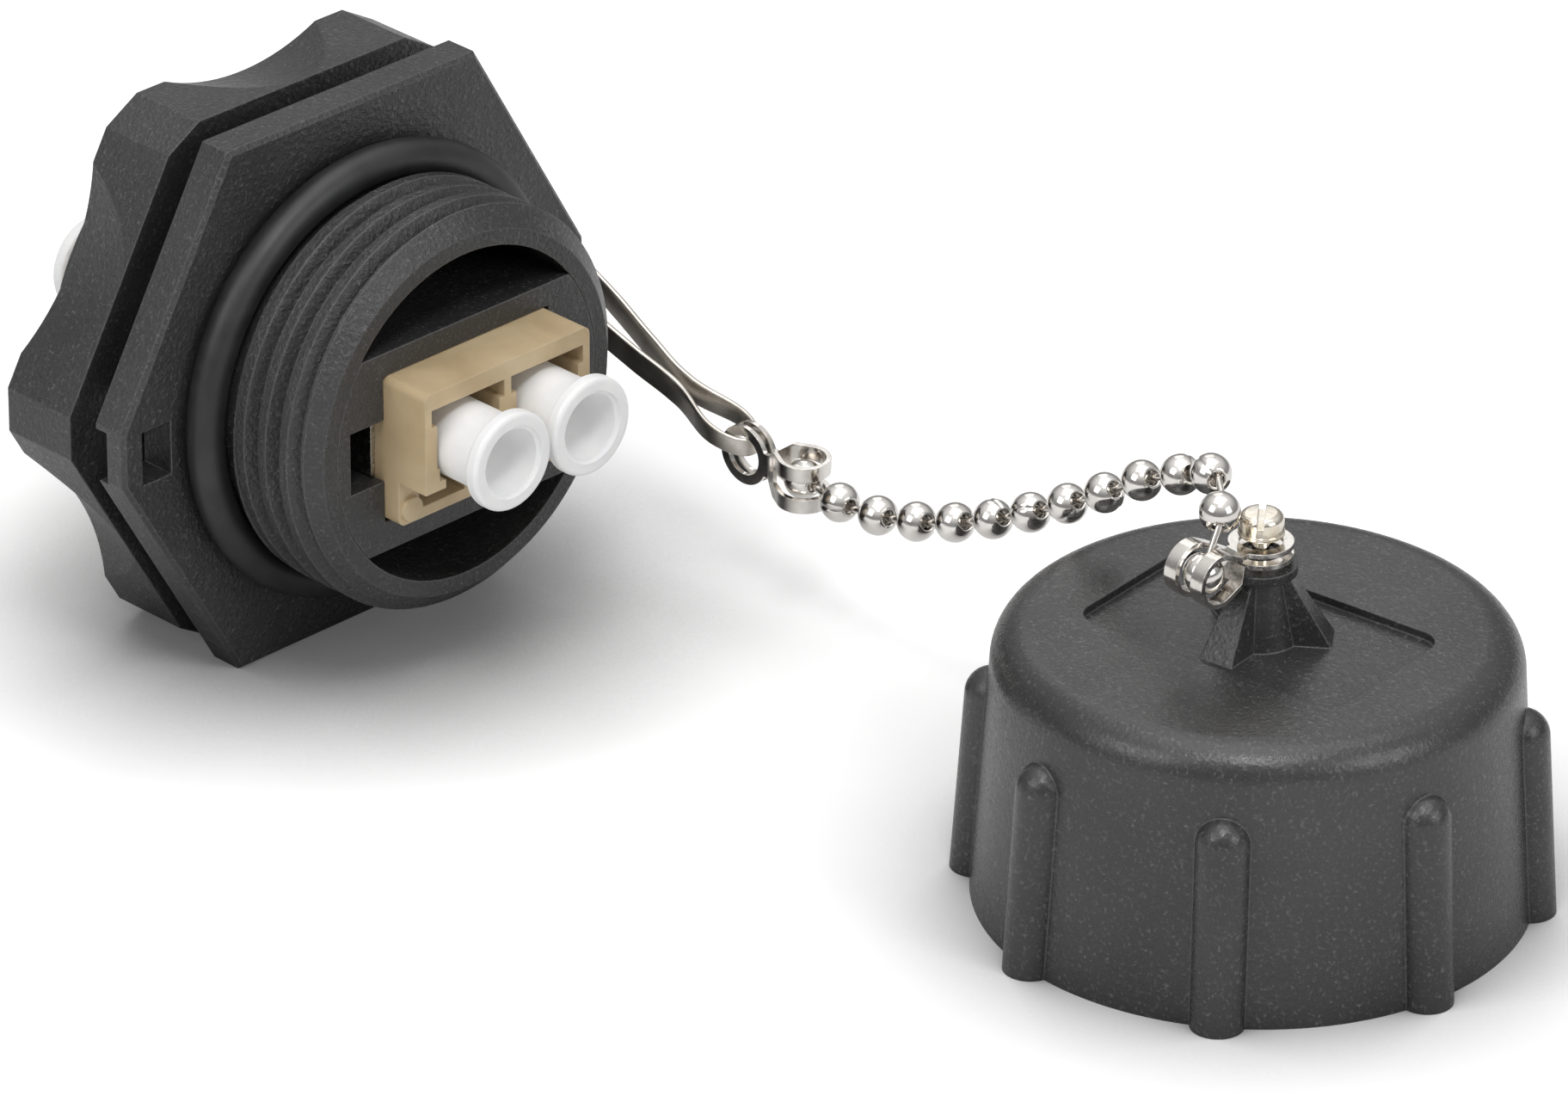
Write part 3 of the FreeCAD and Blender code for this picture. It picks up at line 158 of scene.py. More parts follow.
def glass_filled_nylon(name, dark, light, grain_mm, relief_mm, speck, roughness):
    """Moulded glass-filled nylon: the short fibres leave a fine satin grain, pale specks where they
    lie at the skin, and cloudy flow marks; high spots are burnished paler, and the edges are
    lightened with a painted highlight."""
    material, tree, place = new_material(name)
    # Flow marks: wide, faint clouds left by the melt as it filled the mould.
    flow = add(tree, "ShaderNodeTexNoise", {"Vector": place, "Scale": grains(9.0), "Detail": 3.0})
    body = add(tree, "ShaderNodeValToRGB", {"Fac": flow.outputs["Fac"]},
               stops=[(0.30, dark), (0.72, light)])
    # Grain: real fibre ends are 0.01 mm, drawn at grain_mm so that they show.
    grain = add(tree, "ShaderNodeTexNoise",
                {"Vector": place, "Scale": grains(grain_mm), "Detail": 4.0, "Roughness": 0.62})
    cells = add(tree, "ShaderNodeTexVoronoi",
                {"Vector": place, "Scale": grains(grain_mm * 1.6)}, feature="F1")
    # Specks: the high spots of the grain, where fibre ends lie bare.
    bare = add(tree, "ShaderNodeMapRange",
               {"Value": grain.outputs["Fac"], "From Min": 0.56, "From Max": 0.74,
                "To Min": 0.0, "To Max": speck})
    specked = add(tree, "ShaderNodeMix",
                  {"Factor": bare.outputs["Result"], MIX_FIRST: body.outputs["Color"],
                   MIX_SECOND: "#828282"}, data_type="RGBA")
    # Painted highlight: the edges are mixed towards a paler grey, as if they caught the light.
    normal, edges = rounded_edges_and_highlight(tree, 0.16, 6, 0.99, 0.90, 0.42)
    edge_highlighted = add(tree, "ShaderNodeMix",
               {"Factor": edges, MIX_FIRST: specked.outputs[MIX_RESULT], MIX_SECOND: "#777777"},
               data_type="RGBA")
    # The high spots are rubbed smoother than the hollows.
    satin = add(tree, "ShaderNodeMapRange",
                {"Value": grain.outputs["Fac"], "From Min": 0.3, "From Max": 0.7,
                 "To Min": roughness + 0.08, "To Max": roughness - 0.08})
    height = add(tree, "ShaderNodeMath",
                 {0: grain.outputs["Fac"], 1: cells.outputs["Distance"], 2: grain.outputs["Fac"]},
                 operation="MULTIPLY_ADD")
    bump = add(tree, "ShaderNodeBump",
               {"Height": height.outputs[0], "Strength": 0.55, "Distance": relief_mm * MM,
                "Normal": normal})
    show(tree, {"Base Color": edge_highlighted.outputs[MIX_RESULT], "Roughness": satin.outputs["Result"],
                "Normal": bump.outputs["Normal"], "IOR": 1.53})
    return material


def seal_rubber(dark, light):
    """Moulded nitrile rubber: a soft, even dark skin with a faint bloom."""
    material, tree, place = new_material("nitrile_rubber")
    bloom = add(tree, "ShaderNodeTexNoise", {"Vector": place, "Scale": grains(1.6), "Detail": 5.0})
    body = add(tree, "ShaderNodeValToRGB", {"Fac": bloom.outputs["Fac"]},
               stops=[(0.35, dark), (0.70, light)])
    # Skin: the mould's real texture is about 0.02 mm, drawn coarser so that it shows.
    skin = add(tree, "ShaderNodeTexNoise", {"Vector": place, "Scale": grains(0.16), "Detail": 2.0})
    bump = add(tree, "ShaderNodeBump",
               {"Height": skin.outputs["Fac"], "Strength": 0.25, "Distance": 0.01 * MM})
    show(tree, {"Base Color": body.outputs["Color"], "Roughness": 0.46,
                "Normal": bump.outputs["Normal"], "IOR": 1.52})
    return material


def beige_polyester(dark, middle, light, edge):
    """Moulded polyester in the beige of a multimode adapter: satin, with mottled flow and slightly
    see-through edges; their glow is also painted in as a paler colour on the edges."""
    material, tree, place = new_material("beige_pbt_polyester")
    flow = add(tree, "ShaderNodeTexNoise",
               {"Vector": place, "Scale": grains(3.4), "Detail": 4.0, "Distortion": 0.6})
    body = add(tree, "ShaderNodeValToRGB", {"Fac": flow.outputs["Fac"]},
               stops=[(0.28, dark), (0.55, middle), (0.80, light)])
    # Painted glow: the thin edges are mixed towards a paler colour, as if light shone through them.
    normal, edges = rounded_edges_and_highlight(tree, 0.12, 4, 0.995, 0.88, 0.45)
    glowing = add(tree, "ShaderNodeMix",
                  {"Factor": edges, MIX_FIRST: body.outputs["Color"], MIX_SECOND: tone(edge)},
                  data_type="RGBA")
    # Skin: the spark-eroded mould's texture is about 0.03 mm, drawn coarser so that it shows.
    skin = add(tree, "ShaderNodeTexNoise", {"Vector": place, "Scale": grains(0.25), "Detail": 3.0})
    bump = add(tree, "ShaderNodeBump",
               {"Height": skin.outputs["Fac"], "Strength": 0.3, "Distance": 0.012 * MM,
                "Normal": normal})
    show(tree, {"Base Color": glowing.outputs[MIX_RESULT], "Roughness": 0.42,
                "Normal": bump.outputs["Normal"], "IOR": 1.56,
                "Subsurface Weight": 0.12, "Subsurface Radius": (0.0006, 0.0004, 0.0002)})
    return material


def white_polyethylene(dark, light):
    """Soft low-density polyethylene caps: milky white, waxy, glowing a little where thin."""
    material, tree, place = new_material("milky_polyethylene")
    cloud = add(tree, "ShaderNodeTexNoise", {"Vector": place, "Scale": grains(1.8), "Detail": 3.0})
    body = add(tree, "ShaderNodeValToRGB", {"Fac": cloud.outputs["Fac"]},
               stops=[(0.30, dark), (0.70, light)])
    # Wax: the skin's real ripple is below 0.1 mm, drawn coarser so that it shows.
    wax = add(tree, "ShaderNodeTexNoise", {"Vector": place, "Scale": grains(0.45), "Detail": 2.0})
    bump = add(tree, "ShaderNodeBump",
               {"Height": wax.outputs["Fac"], "Strength": 0.35, "Distance": 0.015 * MM})
    show(tree, {"Base Color": body.outputs["Color"], "Roughness": 0.44,
                "Normal": bump.outputs["Normal"], "IOR": 1.51,
                "Subsurface Weight": 0.25, "Subsurface Radius": (0.0008, 0.0008, 0.0009)})
    return material


def zirconia():
    """Polished white zirconia of the alignment sleeves: glassy and faintly clouded."""
    material, tree, place = new_material("polished_zirconia")
    cloud = add(tree, "ShaderNodeTexNoise", {"Vector": place, "Scale": grains(0.8), "Detail": 2.0})
    body = add(tree, "ShaderNodeValToRGB", {"Fac": cloud.outputs["Fac"]},
               stops=[(0.3, "#e9e8e2"), (0.7, "#f4f3ee")])
    show(tree, {"Base Color": body.outputs["Color"], "Roughness": 0.14, "IOR": 2.1})
    return material


def nickel_plate(name, pale, dark, roughness, streak_mm, relief=0.10):
    """Nickel-plated steel: bright and warm grey, with soft rolling streaks under the plate and
    fine handling scuffs that break its mirror."""
    material, tree, place = new_material(name)
    cloud = add(tree, "ShaderNodeTexNoise", {"Vector": place, "Scale": grains(1.3), "Detail": 4.0})
    body = add(tree, "ShaderNodeValToRGB", {"Fac": cloud.outputs["Fac"]},
               stops=[(0.30, dark), (0.65, pale)])
    # Scuffs: real ones are hundredths of a millimetre wide, drawn at streak_mm so that they show.
    scuff = add(tree, "ShaderNodeTexNoise",
                {"Vector": place, "Scale": grains(streak_mm), "Detail": 6.0, "Distortion": 0.8})
    dull = add(tree, "ShaderNodeMapRange",
               {"Value": scuff.outputs["Fac"], "From Min": 0.42, "From Max": 0.72,
                "To Min": roughness, "To Max": roughness + 0.16})
    rounded = add(tree, "ShaderNodeBevel", {"Radius": 0.05 * MM}, samples=4)
    bump = add(tree, "ShaderNodeBump",
               {"Height": scuff.outputs["Fac"], "Strength": relief, "Distance": 0.02 * MM,
                "Normal": rounded.outputs["Normal"]})
    show(tree, {"Base Color": body.outputs["Color"], "Metallic": 1.0,
                "Roughness": dull.outputs["Result"], "Normal": bump.outputs["Normal"]})
    return material


class CouplerFinishes(bpy.types.PropertyGroup):
    """Colours and textures of the mouldings, the seals and the plated steel"""
    grain_mm: bpy.props.FloatProperty(
        name="Nylon grain", description="Size of the drawn grain in millimetres",
        default=0.24, min=0.02, max=2.0)
    nylon_roughness: bpy.props.FloatProperty(
        name="Nylon roughness", description="Satin of the moulded nylon", default=0.31,
        min=0.0, max=1.0, subtype="FACTOR")
    metal_roughness: bpy.props.FloatProperty(
        name="Plate roughness", description="Brightness of the nickel plate", default=0.11,
        min=0.0, max=1.0, subtype="FACTOR")
    nylon_dark: bpy.props.FloatVectorProperty(
        name="Housing, dark", description="Darker tone of the housing, the nut and the carrier",
        size=4, default=linear("#292929"), min=0.0, max=1.0, subtype="COLOR")
    nylon_light: bpy.props.FloatVectorProperty(
        name="Housing, light", description="Paler tone of the housing, the nut and the carrier",
        size=4, default=linear("#3a3a3a"), min=0.0, max=1.0, subtype="COLOR")
    cap_dark: bpy.props.FloatVectorProperty(
        name="Cap, dark", description="Darker tone of the screw cap and its inner thread",
        size=4, default=linear("#2c2c2c"), min=0.0, max=1.0, subtype="COLOR")
    cap_light: bpy.props.FloatVectorProperty(
        name="Cap, light", description="Paler tone of the screw cap and its inner thread",
        size=4, default=linear("#3b3b3b"), min=0.0, max=1.0, subtype="COLOR")
    rubber_dark: bpy.props.FloatVectorProperty(
        name="Rubber, dark", description="Darker tone of the sealing rings",
        size=4, default=linear("#1e1e1e"), min=0.0, max=1.0, subtype="COLOR")
    rubber_light: bpy.props.FloatVectorProperty(
        name="Rubber, light", description="Paler tone of the sealing rings",
        size=4, default=linear("#2b2b2b"), min=0.0, max=1.0, subtype="COLOR")
    adapter_dark: bpy.props.FloatVectorProperty(
        name="Adapter, dark", description="Darkest tone of the inner adapter",
        size=4, default=linear("#b8a17d"), min=0.0, max=1.0, subtype="COLOR")
    adapter_middle: bpy.props.FloatVectorProperty(
        name="Adapter, middle", description="Main tone of the inner adapter",
        size=4, default=linear("#c8b28d"), min=0.0, max=1.0, subtype="COLOR")
    adapter_light: bpy.props.FloatVectorProperty(
        name="Adapter, light", description="Palest tone of the inner adapter",
        size=4, default=linear("#d3c09d"), min=0.0, max=1.0, subtype="COLOR")
    # The paler colour painted on the adapter's thin edges: a painted glow, as of light through
    # them.
    adapter_edge_glow: bpy.props.FloatVectorProperty(
        name="Adapter, edges", description="Tone of the inner adapter's thin edges",
        size=4, default=linear("#e6d8b8"), min=0.0, max=1.0, subtype="COLOR")
    plug_dark: bpy.props.FloatVectorProperty(
        name="Plugs, dark", description="Darker tone of the dust plugs",
        size=4, default=linear("#f4f4f5"), min=0.0, max=1.0, subtype="COLOR")
    plug_light: bpy.props.FloatVectorProperty(
        name="Plugs, light", description="Paler tone of the dust plugs",
        size=4, default=linear("#fbfbfa"), min=0.0, max=1.0, subtype="COLOR")


# ------------------------------------------------------------------ helpers for pieces

def body_of_node(node):
    """The CAD body that a CAD node belongs to."""
    for body, nodes in frame["record"]["behaviour"]["bodies"].items():
        if node in nodes:
            return body
    raise RuntimeError("no body holds " + node)


def centre_of(node):
    """The middle of a CAD node's box at rest."""
    low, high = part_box(node)
    return (Vector(low) + Vector(high)) / 2


def finish_node(node, material):
    """Gives a CAD node its finish."""
    mesh = frame["nodes"][node].data
    mesh.materials.clear()
    mesh.materials.append(material)


def only(obj):
    """Makes one object the only selected one and the active one."""
    bpy.ops.object.select_all(action="DESELECT")
    bpy.context.view_layer.objects.active = obj
    obj.select_set(True)


def edit(obj, kind, test):
    """Opens an object in edit mode with only those vertices, edges or faces selected that pass
    the test."""
    only(obj)
    bpy.ops.object.mode_set(mode="EDIT")
    bpy.ops.mesh.select_mode(type=kind)
    bpy.ops.mesh.select_all(action="DESELECT")
    bpy.ops.object.mode_set(mode="OBJECT")
    mesh = obj.data
    parts = {"VERT": mesh.vertices, "EDGE": mesh.edges, "FACE": mesh.polygons}[kind]
    for part in parts:
        part.select = bool(test(part))
    if not any(part.select for part in parts):
        raise RuntimeError("nothing to select on " + obj.name)
    bpy.ops.object.mode_set(mode="EDIT")


def bake_place(obj, matrix):
    """Moves the mesh itself, so that the object stays at the origin."""
    obj.data.transform(matrix)
    obj.data.update()


# Edges within this of a height count as lying at it.
LEVEL_MM = 0.01


def cylinder(name, radius_mm, low_mm, high_mm, segments=64):
    """An upright cylinder between two heights, with its place in its mesh."""
    bpy.ops.object.select_all(action="DESELECT")
    bpy.ops.mesh.primitive_cylinder_add(
        vertices=segments, radius=radius_mm * MM, depth=(high_mm - low_mm) * MM,
        location=(0, 0, (low_mm + high_mm) / 2 * MM))
    made = bpy.context.object
    made.name = name
    bpy.ops.object.transform_apply(location=True, rotation=True, scale=True)
    return made


def bevel_rim(obj, height_mm, width_mm, segments):
    """Rounds the edges that lie at one height."""
    verts = obj.data.vertices
    edit(obj, "EDGE", lambda edge: all(
        abs(verts[index].co.z - height_mm * MM) < LEVEL_MM * MM for index in edge.vertices))
    bpy.ops.mesh.bevel(offset=width_mm * MM, segments=segments, affect="EDGES")
    bpy.ops.object.mode_set(mode="OBJECT")


def join(name, pieces):
    """Joins finished shapes into one named piece."""
    only(pieces[0])
    for piece in pieces:
        piece.select_set(True)
    bpy.ops.object.join()
    pieces[0].name = name
    return pieces[0]


def cut(piece, tool):
    """Cuts one shape out of another with a boolean that is applied at once."""
    modifier = piece.modifiers.new("cut", "BOOLEAN")
    modifier.operation = "DIFFERENCE"
    modifier.solver = "EXACT"
    modifier.object = tool
    only(piece)
    bpy.ops.object.modifier_apply(modifier="cut")
    bpy.data.objects.remove(tool, do_unlink=True)


def dress(piece, body, nodes, material, angle=None):
    """Gives a finished piece its material and its body, and hides the CAD nodes that it stands for.
    Edges sharper than angle, in degrees, stay sharp."""
    piece.data.materials.clear()
    piece.data.materials.append(material)
    only(piece)
    if angle is None:
        bpy.ops.object.shade_smooth()
    else:
        bpy.ops.object.shade_smooth_by_angle(angle=math.radians(angle))
    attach(piece, body)
    if nodes:
        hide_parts(*nodes)


# ------------------------------------------------------------------ finishes of the CAD pieces

class COUPLER_OT_bodywork(bpy.types.Operator):
    """Finishes the black nylon of the housing, its carrier plate and the lock nut"""
    bl_idname = "coupler.bodywork"
    bl_label = "Black nylon bodywork"

    def execute(self, context):
        look = context.scene.coupler_finishes
        nylon = glass_filled_nylon(
            "black_glass_filled_nylon", look.nylon_dark, look.nylon_light, look.grain_mm,
            relief_mm=0.12, speck=0.40, roughness=look.nylon_roughness)
        for node in ("housing", "lock_nut", "adapter_carrier"):
            finish_node(node, nylon)
        return {"FINISHED"}


class COUPLER_OT_seals(bpy.types.Operator):
    """Finishes the two rubber sealing rings"""
    bl_idname = "coupler.seals"
    bl_label = "Sealing rings"

    def execute(self, context):
        look = context.scene.coupler_finishes
        rubber = seal_rubber(look.rubber_dark, look.rubber_light)
        for node in ("spout_ring", "panel_ring"):
            finish_node(node, rubber)
        return {"FINISHED"}


class COUPLER_OT_inner_adapter(bpy.types.Operator):
    """Finishes the beige duplex adapter, its sleeves and its spring clip"""
    bl_idname = "coupler.inner_adapter"
    bl_label = "Inner adapter"

    def execute(self, context):
        look = context.scene.coupler_finishes
        beige = beige_polyester(look.adapter_dark, look.adapter_middle, look.adapter_light,
                                look.adapter_edge_glow)
        for node in ("adapter_front_half", "adapter_rear_half"):
            finish_node(node, beige)
        ceramic = zirconia()
        for node in ("left_sleeve", "right_sleeve"):
            finish_node(node, ceramic)
        finish_node("adapter_clip", nickel_plate(
            "spring_steel", "#cfccc6", "#b9b5ae", roughness=0.2, streak_mm=0.3))
        return {"FINISHED"}


class COUPLER_OT_dust_plugs(bpy.types.Operator):
    """Finishes the four soft dust plugs"""
    bl_idname = "coupler.dust_plugs"
    bl_label = "Dust plugs"

    def execute(self, context):
        look = context.scene.coupler_finishes
        milky = white_polyethylene(look.plug_dark, look.plug_light)
        for node in PLUGS:
            finish_node(node, milky)
        return {"FINISHED"}


class COUPLER_OT_tether(bpy.types.Operator):
    """Finishes the two folded couplings and the pins of the chain"""
    bl_idname = "coupler.tether"
    bl_label = "Couplings and pins"

    def execute(self, context):
        look = context.scene.coupler_finishes
        bright = nickel_plate("nickel_plated_steel", "#eeeae5", "#d6d1ca",
                              look.metal_roughness, streak_mm=0.35)
        for node in LINKS + ["tether_coupling", "cap_coupling"]:
            finish_node(node, bright)
        return {"FINISHED"}


class COUPLER_OT_cap(bpy.types.Operator):
    """Finishes the ribbed screw cap"""
    bl_idname = "coupler.cap"
    bl_label = "Screw cap"

    def execute(self, context):
        look = context.scene.coupler_finishes
        # The cap is handled, so its skin is rubbed a little smoother than the housing's.
        finish_node("screw_cap", glass_filled_nylon(
            "black_nylon_cap", look.cap_dark, look.cap_light, look.grain_mm,
            relief_mm=0.04, speck=0.5, roughness=look.nylon_roughness - 0.06))
        return {"FINISHED"}


# ------------------------------------------------------------------ chain balls

BALL_SEGMENTS, BALL_RINGS = 48, 28
# How far the pressed seam reaches to each side of its middle.
SEAM_WIDTH_MM = 0.03
# Vertices lie on the seam's meridian when they are this near it, as a share of the gap to the next.
NEAR_SHARE = 0.3
# How far below a mouth's rim its vertices may lie.
RIM_MM = 0.02
# Each step of a lip's roll: how far in, in millimetres, and the change of its width.
LIP_ROLL = ((0.06, 0.90), (0.10, 0.93), (0.14, 1.04))
# How far the first ball is turned about the chain, and each next one beyond the last, in degrees.
FIRST_TURN, NEXT_TURN = 20.0, 67.0


class CouplerChain(bpy.types.PropertyGroup):
    """Sizes of the chain's balls"""
    ball_mm: bpy.props.FloatProperty(
        name="Ball", description="Ball diameter in millimetres", default=2.36, min=0.5, max=20.0)
    mouth_mm: bpy.props.FloatProperty(
        name="Mouth", description="Radius of the hole in each ball's end in millimetres",
        default=0.52, min=0.1, max=5.0)
    seam_mm: bpy.props.FloatProperty(
        name="Seam", description="Depth of the seam along each ball in millimetres",
        default=0.07, min=0.0, max=1.0)


class COUPLER_OT_balls(bpy.types.Operator):
    """Models one hollow ball with rolled mouths and a seam, and copies it along the chain"""
    bl_idname = "coupler.balls"
    bl_label = "Chain balls"

    def execute(self, context):
        sizes = context.scene.coupler_chain
        ball = self.model_ball(sizes.ball_mm / 2 * MM, sizes.mouth_mm * MM, sizes.seam_mm * MM)
        bright = nickel_plate(
            "nickel_plated_balls", "#f0ede9", "#dcd8d2",
            roughness=context.scene.coupler_finishes.metal_roughness * 0.8, streak_mm=0.35)
        plain = ball.data.copy()
        middles = [centre_of(node) for node in BEADS]
        for number, node in enumerate(BEADS):
            piece = ball.copy() if number else ball
            if number:
                piece.data = plain.copy()
                context.scene.collection.objects.link(piece)
            piece.name = "ball_%02d" % (number + 1)
            before = middles[max(number - 1, 0)]
            after = middles[min(number + 1, len(middles) - 1)]
            along = (after - before).to_track_quat("Z", "X").to_matrix().to_4x4()
            spin = Matrix.Rotation(math.radians(NEXT_TURN * number + FIRST_TURN), 4, "Z")
            bake_place(piece, Matrix.Translation(middles[number]) @ along @ spin)
            dress(piece, body_of_node(node), [node], bright)
        bpy.data.meshes.remove(plain)
        return {"FINISHED"}

    @staticmethod
    def model_ball(radius, mouth, seam):
        """One hollow ball at the origin, with its mouths at its poles; sizes in metres."""
        bpy.ops.object.select_all(action="DESELECT")
        bpy.ops.mesh.primitive_uv_sphere_add(
            segments=BALL_SEGMENTS, ring_count=BALL_RINGS, radius=radius)
        ball = bpy.context.object
        # The strip is rolled into a ball, so its two edges meet in a seam from mouth to mouth: one
        # meridian is widened and pressed in.
        gap = radius * 2 * math.pi / BALL_SEGMENTS
        edit(ball, "VERT", lambda vert: vert.co.x > 0 and abs(vert.co.y) < gap * NEAR_SHARE
             and math.hypot(vert.co.x, vert.co.y) > mouth)
        bpy.ops.mesh.bevel(offset=SEAM_WIDTH_MM * MM, segments=2, affect="EDGES")
        depth = 1.0 - seam / radius
        bpy.ops.transform.resize(value=(depth, depth, depth), center_override=(0, 0, 0))
        bpy.ops.object.mode_set(mode="OBJECT")
        # Each mouth is opened and its lip rolled inwards.
        edit(ball, "FACE", lambda face: math.hypot(face.center.x, face.center.y) < mouth)
        bpy.ops.mesh.delete(type="FACE")
        bpy.ops.object.mode_set(mode="OBJECT")
        for side in (1, -1):
            rim = max(vert.co.z * side for vert in ball.data.vertices)
            edit(ball, "VERT", lambda vert: vert.co.z * side > rim - RIM_MM * MM)
            for inward, narrower in LIP_ROLL:
                bpy.ops.mesh.extrude_region_move(
                    TRANSFORM_OT_translate={"value": (0, 0, -side * inward * MM)})
                bpy.ops.transform.resize(value=(narrower, narrower, 1.0),
                                         center_override=(0, 0, 0))
            bpy.ops.object.mode_set(mode="OBJECT")
        return ball


# ------------------------------------------------------------------ tether strap

# Along the strap, as shares of its length: where its arms start to close in, and where they are
# closest.
FLARE_SHARE, NECK_SHARE = 0.26, 0.64
# Half the strap's height at its ends: the rear one lies at the top of its box, the tip at the foot.
END_HALF_MM = 0.575


class CouplerStrap(bpy.types.PropertyGroup):
    """Sizes of the flat strap that the chain hangs from"""
    thick_mm: bpy.props.FloatProperty(
        name="Thickness", description="Thickness of the tether strap in millimetres",
        default=0.4, min=0.05, max=3.0)
    tall_mm: bpy.props.FloatProperty(
        name="Height", description="Height of the tether strap in millimetres", default=1.6,
        min=0.2, max=10.0)
    tip_share: bpy.props.FloatProperty(
        name="Tip", description="Height at the tip and in the slots as a share of the full height",
        default=0.72, min=0.1, max=1.0, subtype="FACTOR")
    waist_mm: bpy.props.FloatProperty(
        name="Waist", description="Gap between the arms at their narrowest in millimetres",
        default=0.62, min=0.0, max=5.0)
    sag_mm: bpy.props.FloatProperty(
        name="Sag", description="How far the strap hangs below its chord in millimetres",
        default=0.8, min=0.0, max=5.0)


class COUPLER_OT_strap(bpy.types.Operator):
    """Bends the flat steel strap through the flange's slots into its keyhole loop"""
    bl_idname = "coupler.strap"
    bl_label = "Tether strap"

    def execute(self, context):
        sizes = context.scene.coupler_strap
        low, high = [Vector(corner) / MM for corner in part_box("tether_loop")]
        half = sizes.thick_mm / 2
        inner, outer, middle = low.y + half, high.y - half, (low.y + high.y) / 2
        rear, tip = low.x + half, high.x - half
        nose = tip - (outer - inner) / 2
        length = high.x - low.x
        neck = low.x + length * NECK_SHARE
        flare = low.x + length * FLARE_SHARE
        waist = sizes.waist_mm / 2 + half
        arm = [(rear, inner), (flare, inner),
               ((flare + neck) / 2, (inner + middle - waist) / 2),
               (neck, middle - waist), (nose, inner)]
        back = [(x, 2 * middle - y) for x, y in reversed(arm)]
        stations = arm + [(tip, middle)] + back + [(rear, middle)]
        # A circle's four points, with two more between each pair, make the twelve stations.
        bpy.ops.object.select_all(action="DESELECT")
        bpy.ops.curve.primitive_bezier_circle_add(radius=1.0)
        strap = context.object
        strap.name = "tether_strap"
        bpy.ops.object.mode_set(mode="EDIT")
        bpy.ops.curve.select_all(action="SELECT")
        bpy.ops.curve.subdivide(number_cuts=2)
        bpy.ops.object.mode_set(mode="OBJECT")
        for point, (x, y) in zip(strap.data.splines[0].bezier_points, stations):
            along = (x - low.x) / length
            # The box of the strap gives the height of its ends, and the sag is a parabola's.
            rest = high.z - END_HALF_MM + (low.z - high.z + 2 * END_HALF_MM) * along
            point.co = Vector((x, y, rest - 4 * sizes.sag_mm * along * (1 - along))) * MM
            bend = "VECTOR" if x == rear else "AUTO"
            point.handle_left_type = point.handle_right_type = bend
            point.radius = sizes.tip_share if x >= nose or x == rear else 1.0
        strap.data.twist_mode = "Z_UP"
        strap.data.resolution_u = 14
        strap.data.bevel_depth = half * MM
        strap.data.bevel_resolution = 3
        strap.data.extrude = (sizes.tall_mm / 2 - half) * MM
        only(strap)
        bpy.ops.object.convert(target="MESH")
        rolled = nickel_plate("rolled_steel_strap", "#d8d3cb", "#bdb7ae",
                              roughness=0.30, streak_mm=2.6, relief=0.0)
        dress(context.object, body_of_node("tether_loop"), ["tether_loop"],
              rolled, angle=40.0)
        return {"FINISHED"}


# ------------------------------------------------------------------ cap screw

# The rounding of the lip's two rims, as shares of its thickness, and of the head's crown.
LIP_TOP_ROUND, LIP_FOOT_ROUND, CROWN_MM = 0.4, 0.3, 0.45
# The head's and the stem's radius as shares of the lip's.
HEAD_SHARE, STEM_SHARE = 0.96, 0.38
SLOT_DEEP_MM = 0.5
# How far the head is sunk in the lip, so that no gap shows between them.
SUNK_MM = 0.02
# The blade that cuts the slot is longer than the head is wide, as a share of the lip's radius.
BLADE_SHARE = 3


class CouplerScrew(bpy.types.PropertyGroup):
    """Sizes of the slotted screw on the cap"""
    seat_mm: bpy.props.FloatProperty(
        name="Seat", description="From the top of the screw's room down to its seat",
        default=1.7, min=0.1, max=10.0)
    tall_mm: bpy.props.FloatProperty(
        name="Head height", description="Height of the head and its lip in millimetres",
        default=1.34, min=0.1, max=10.0)
    lip_mm: bpy.props.FloatProperty(
        name="Lip", description="Thickness of the lip under the head in millimetres",
        default=0.3, min=0.05, max=3.0)
    slot_mm: bpy.props.FloatProperty(
        name="Slot", description="Width of the driver slot in millimetres", default=0.42,
        min=0.05, max=3.0)
    slot_turn: bpy.props.FloatProperty(
        name="Slot heading", description="Direction of the driver slot",
        default=math.radians(-50.0), subtype="ANGLE")


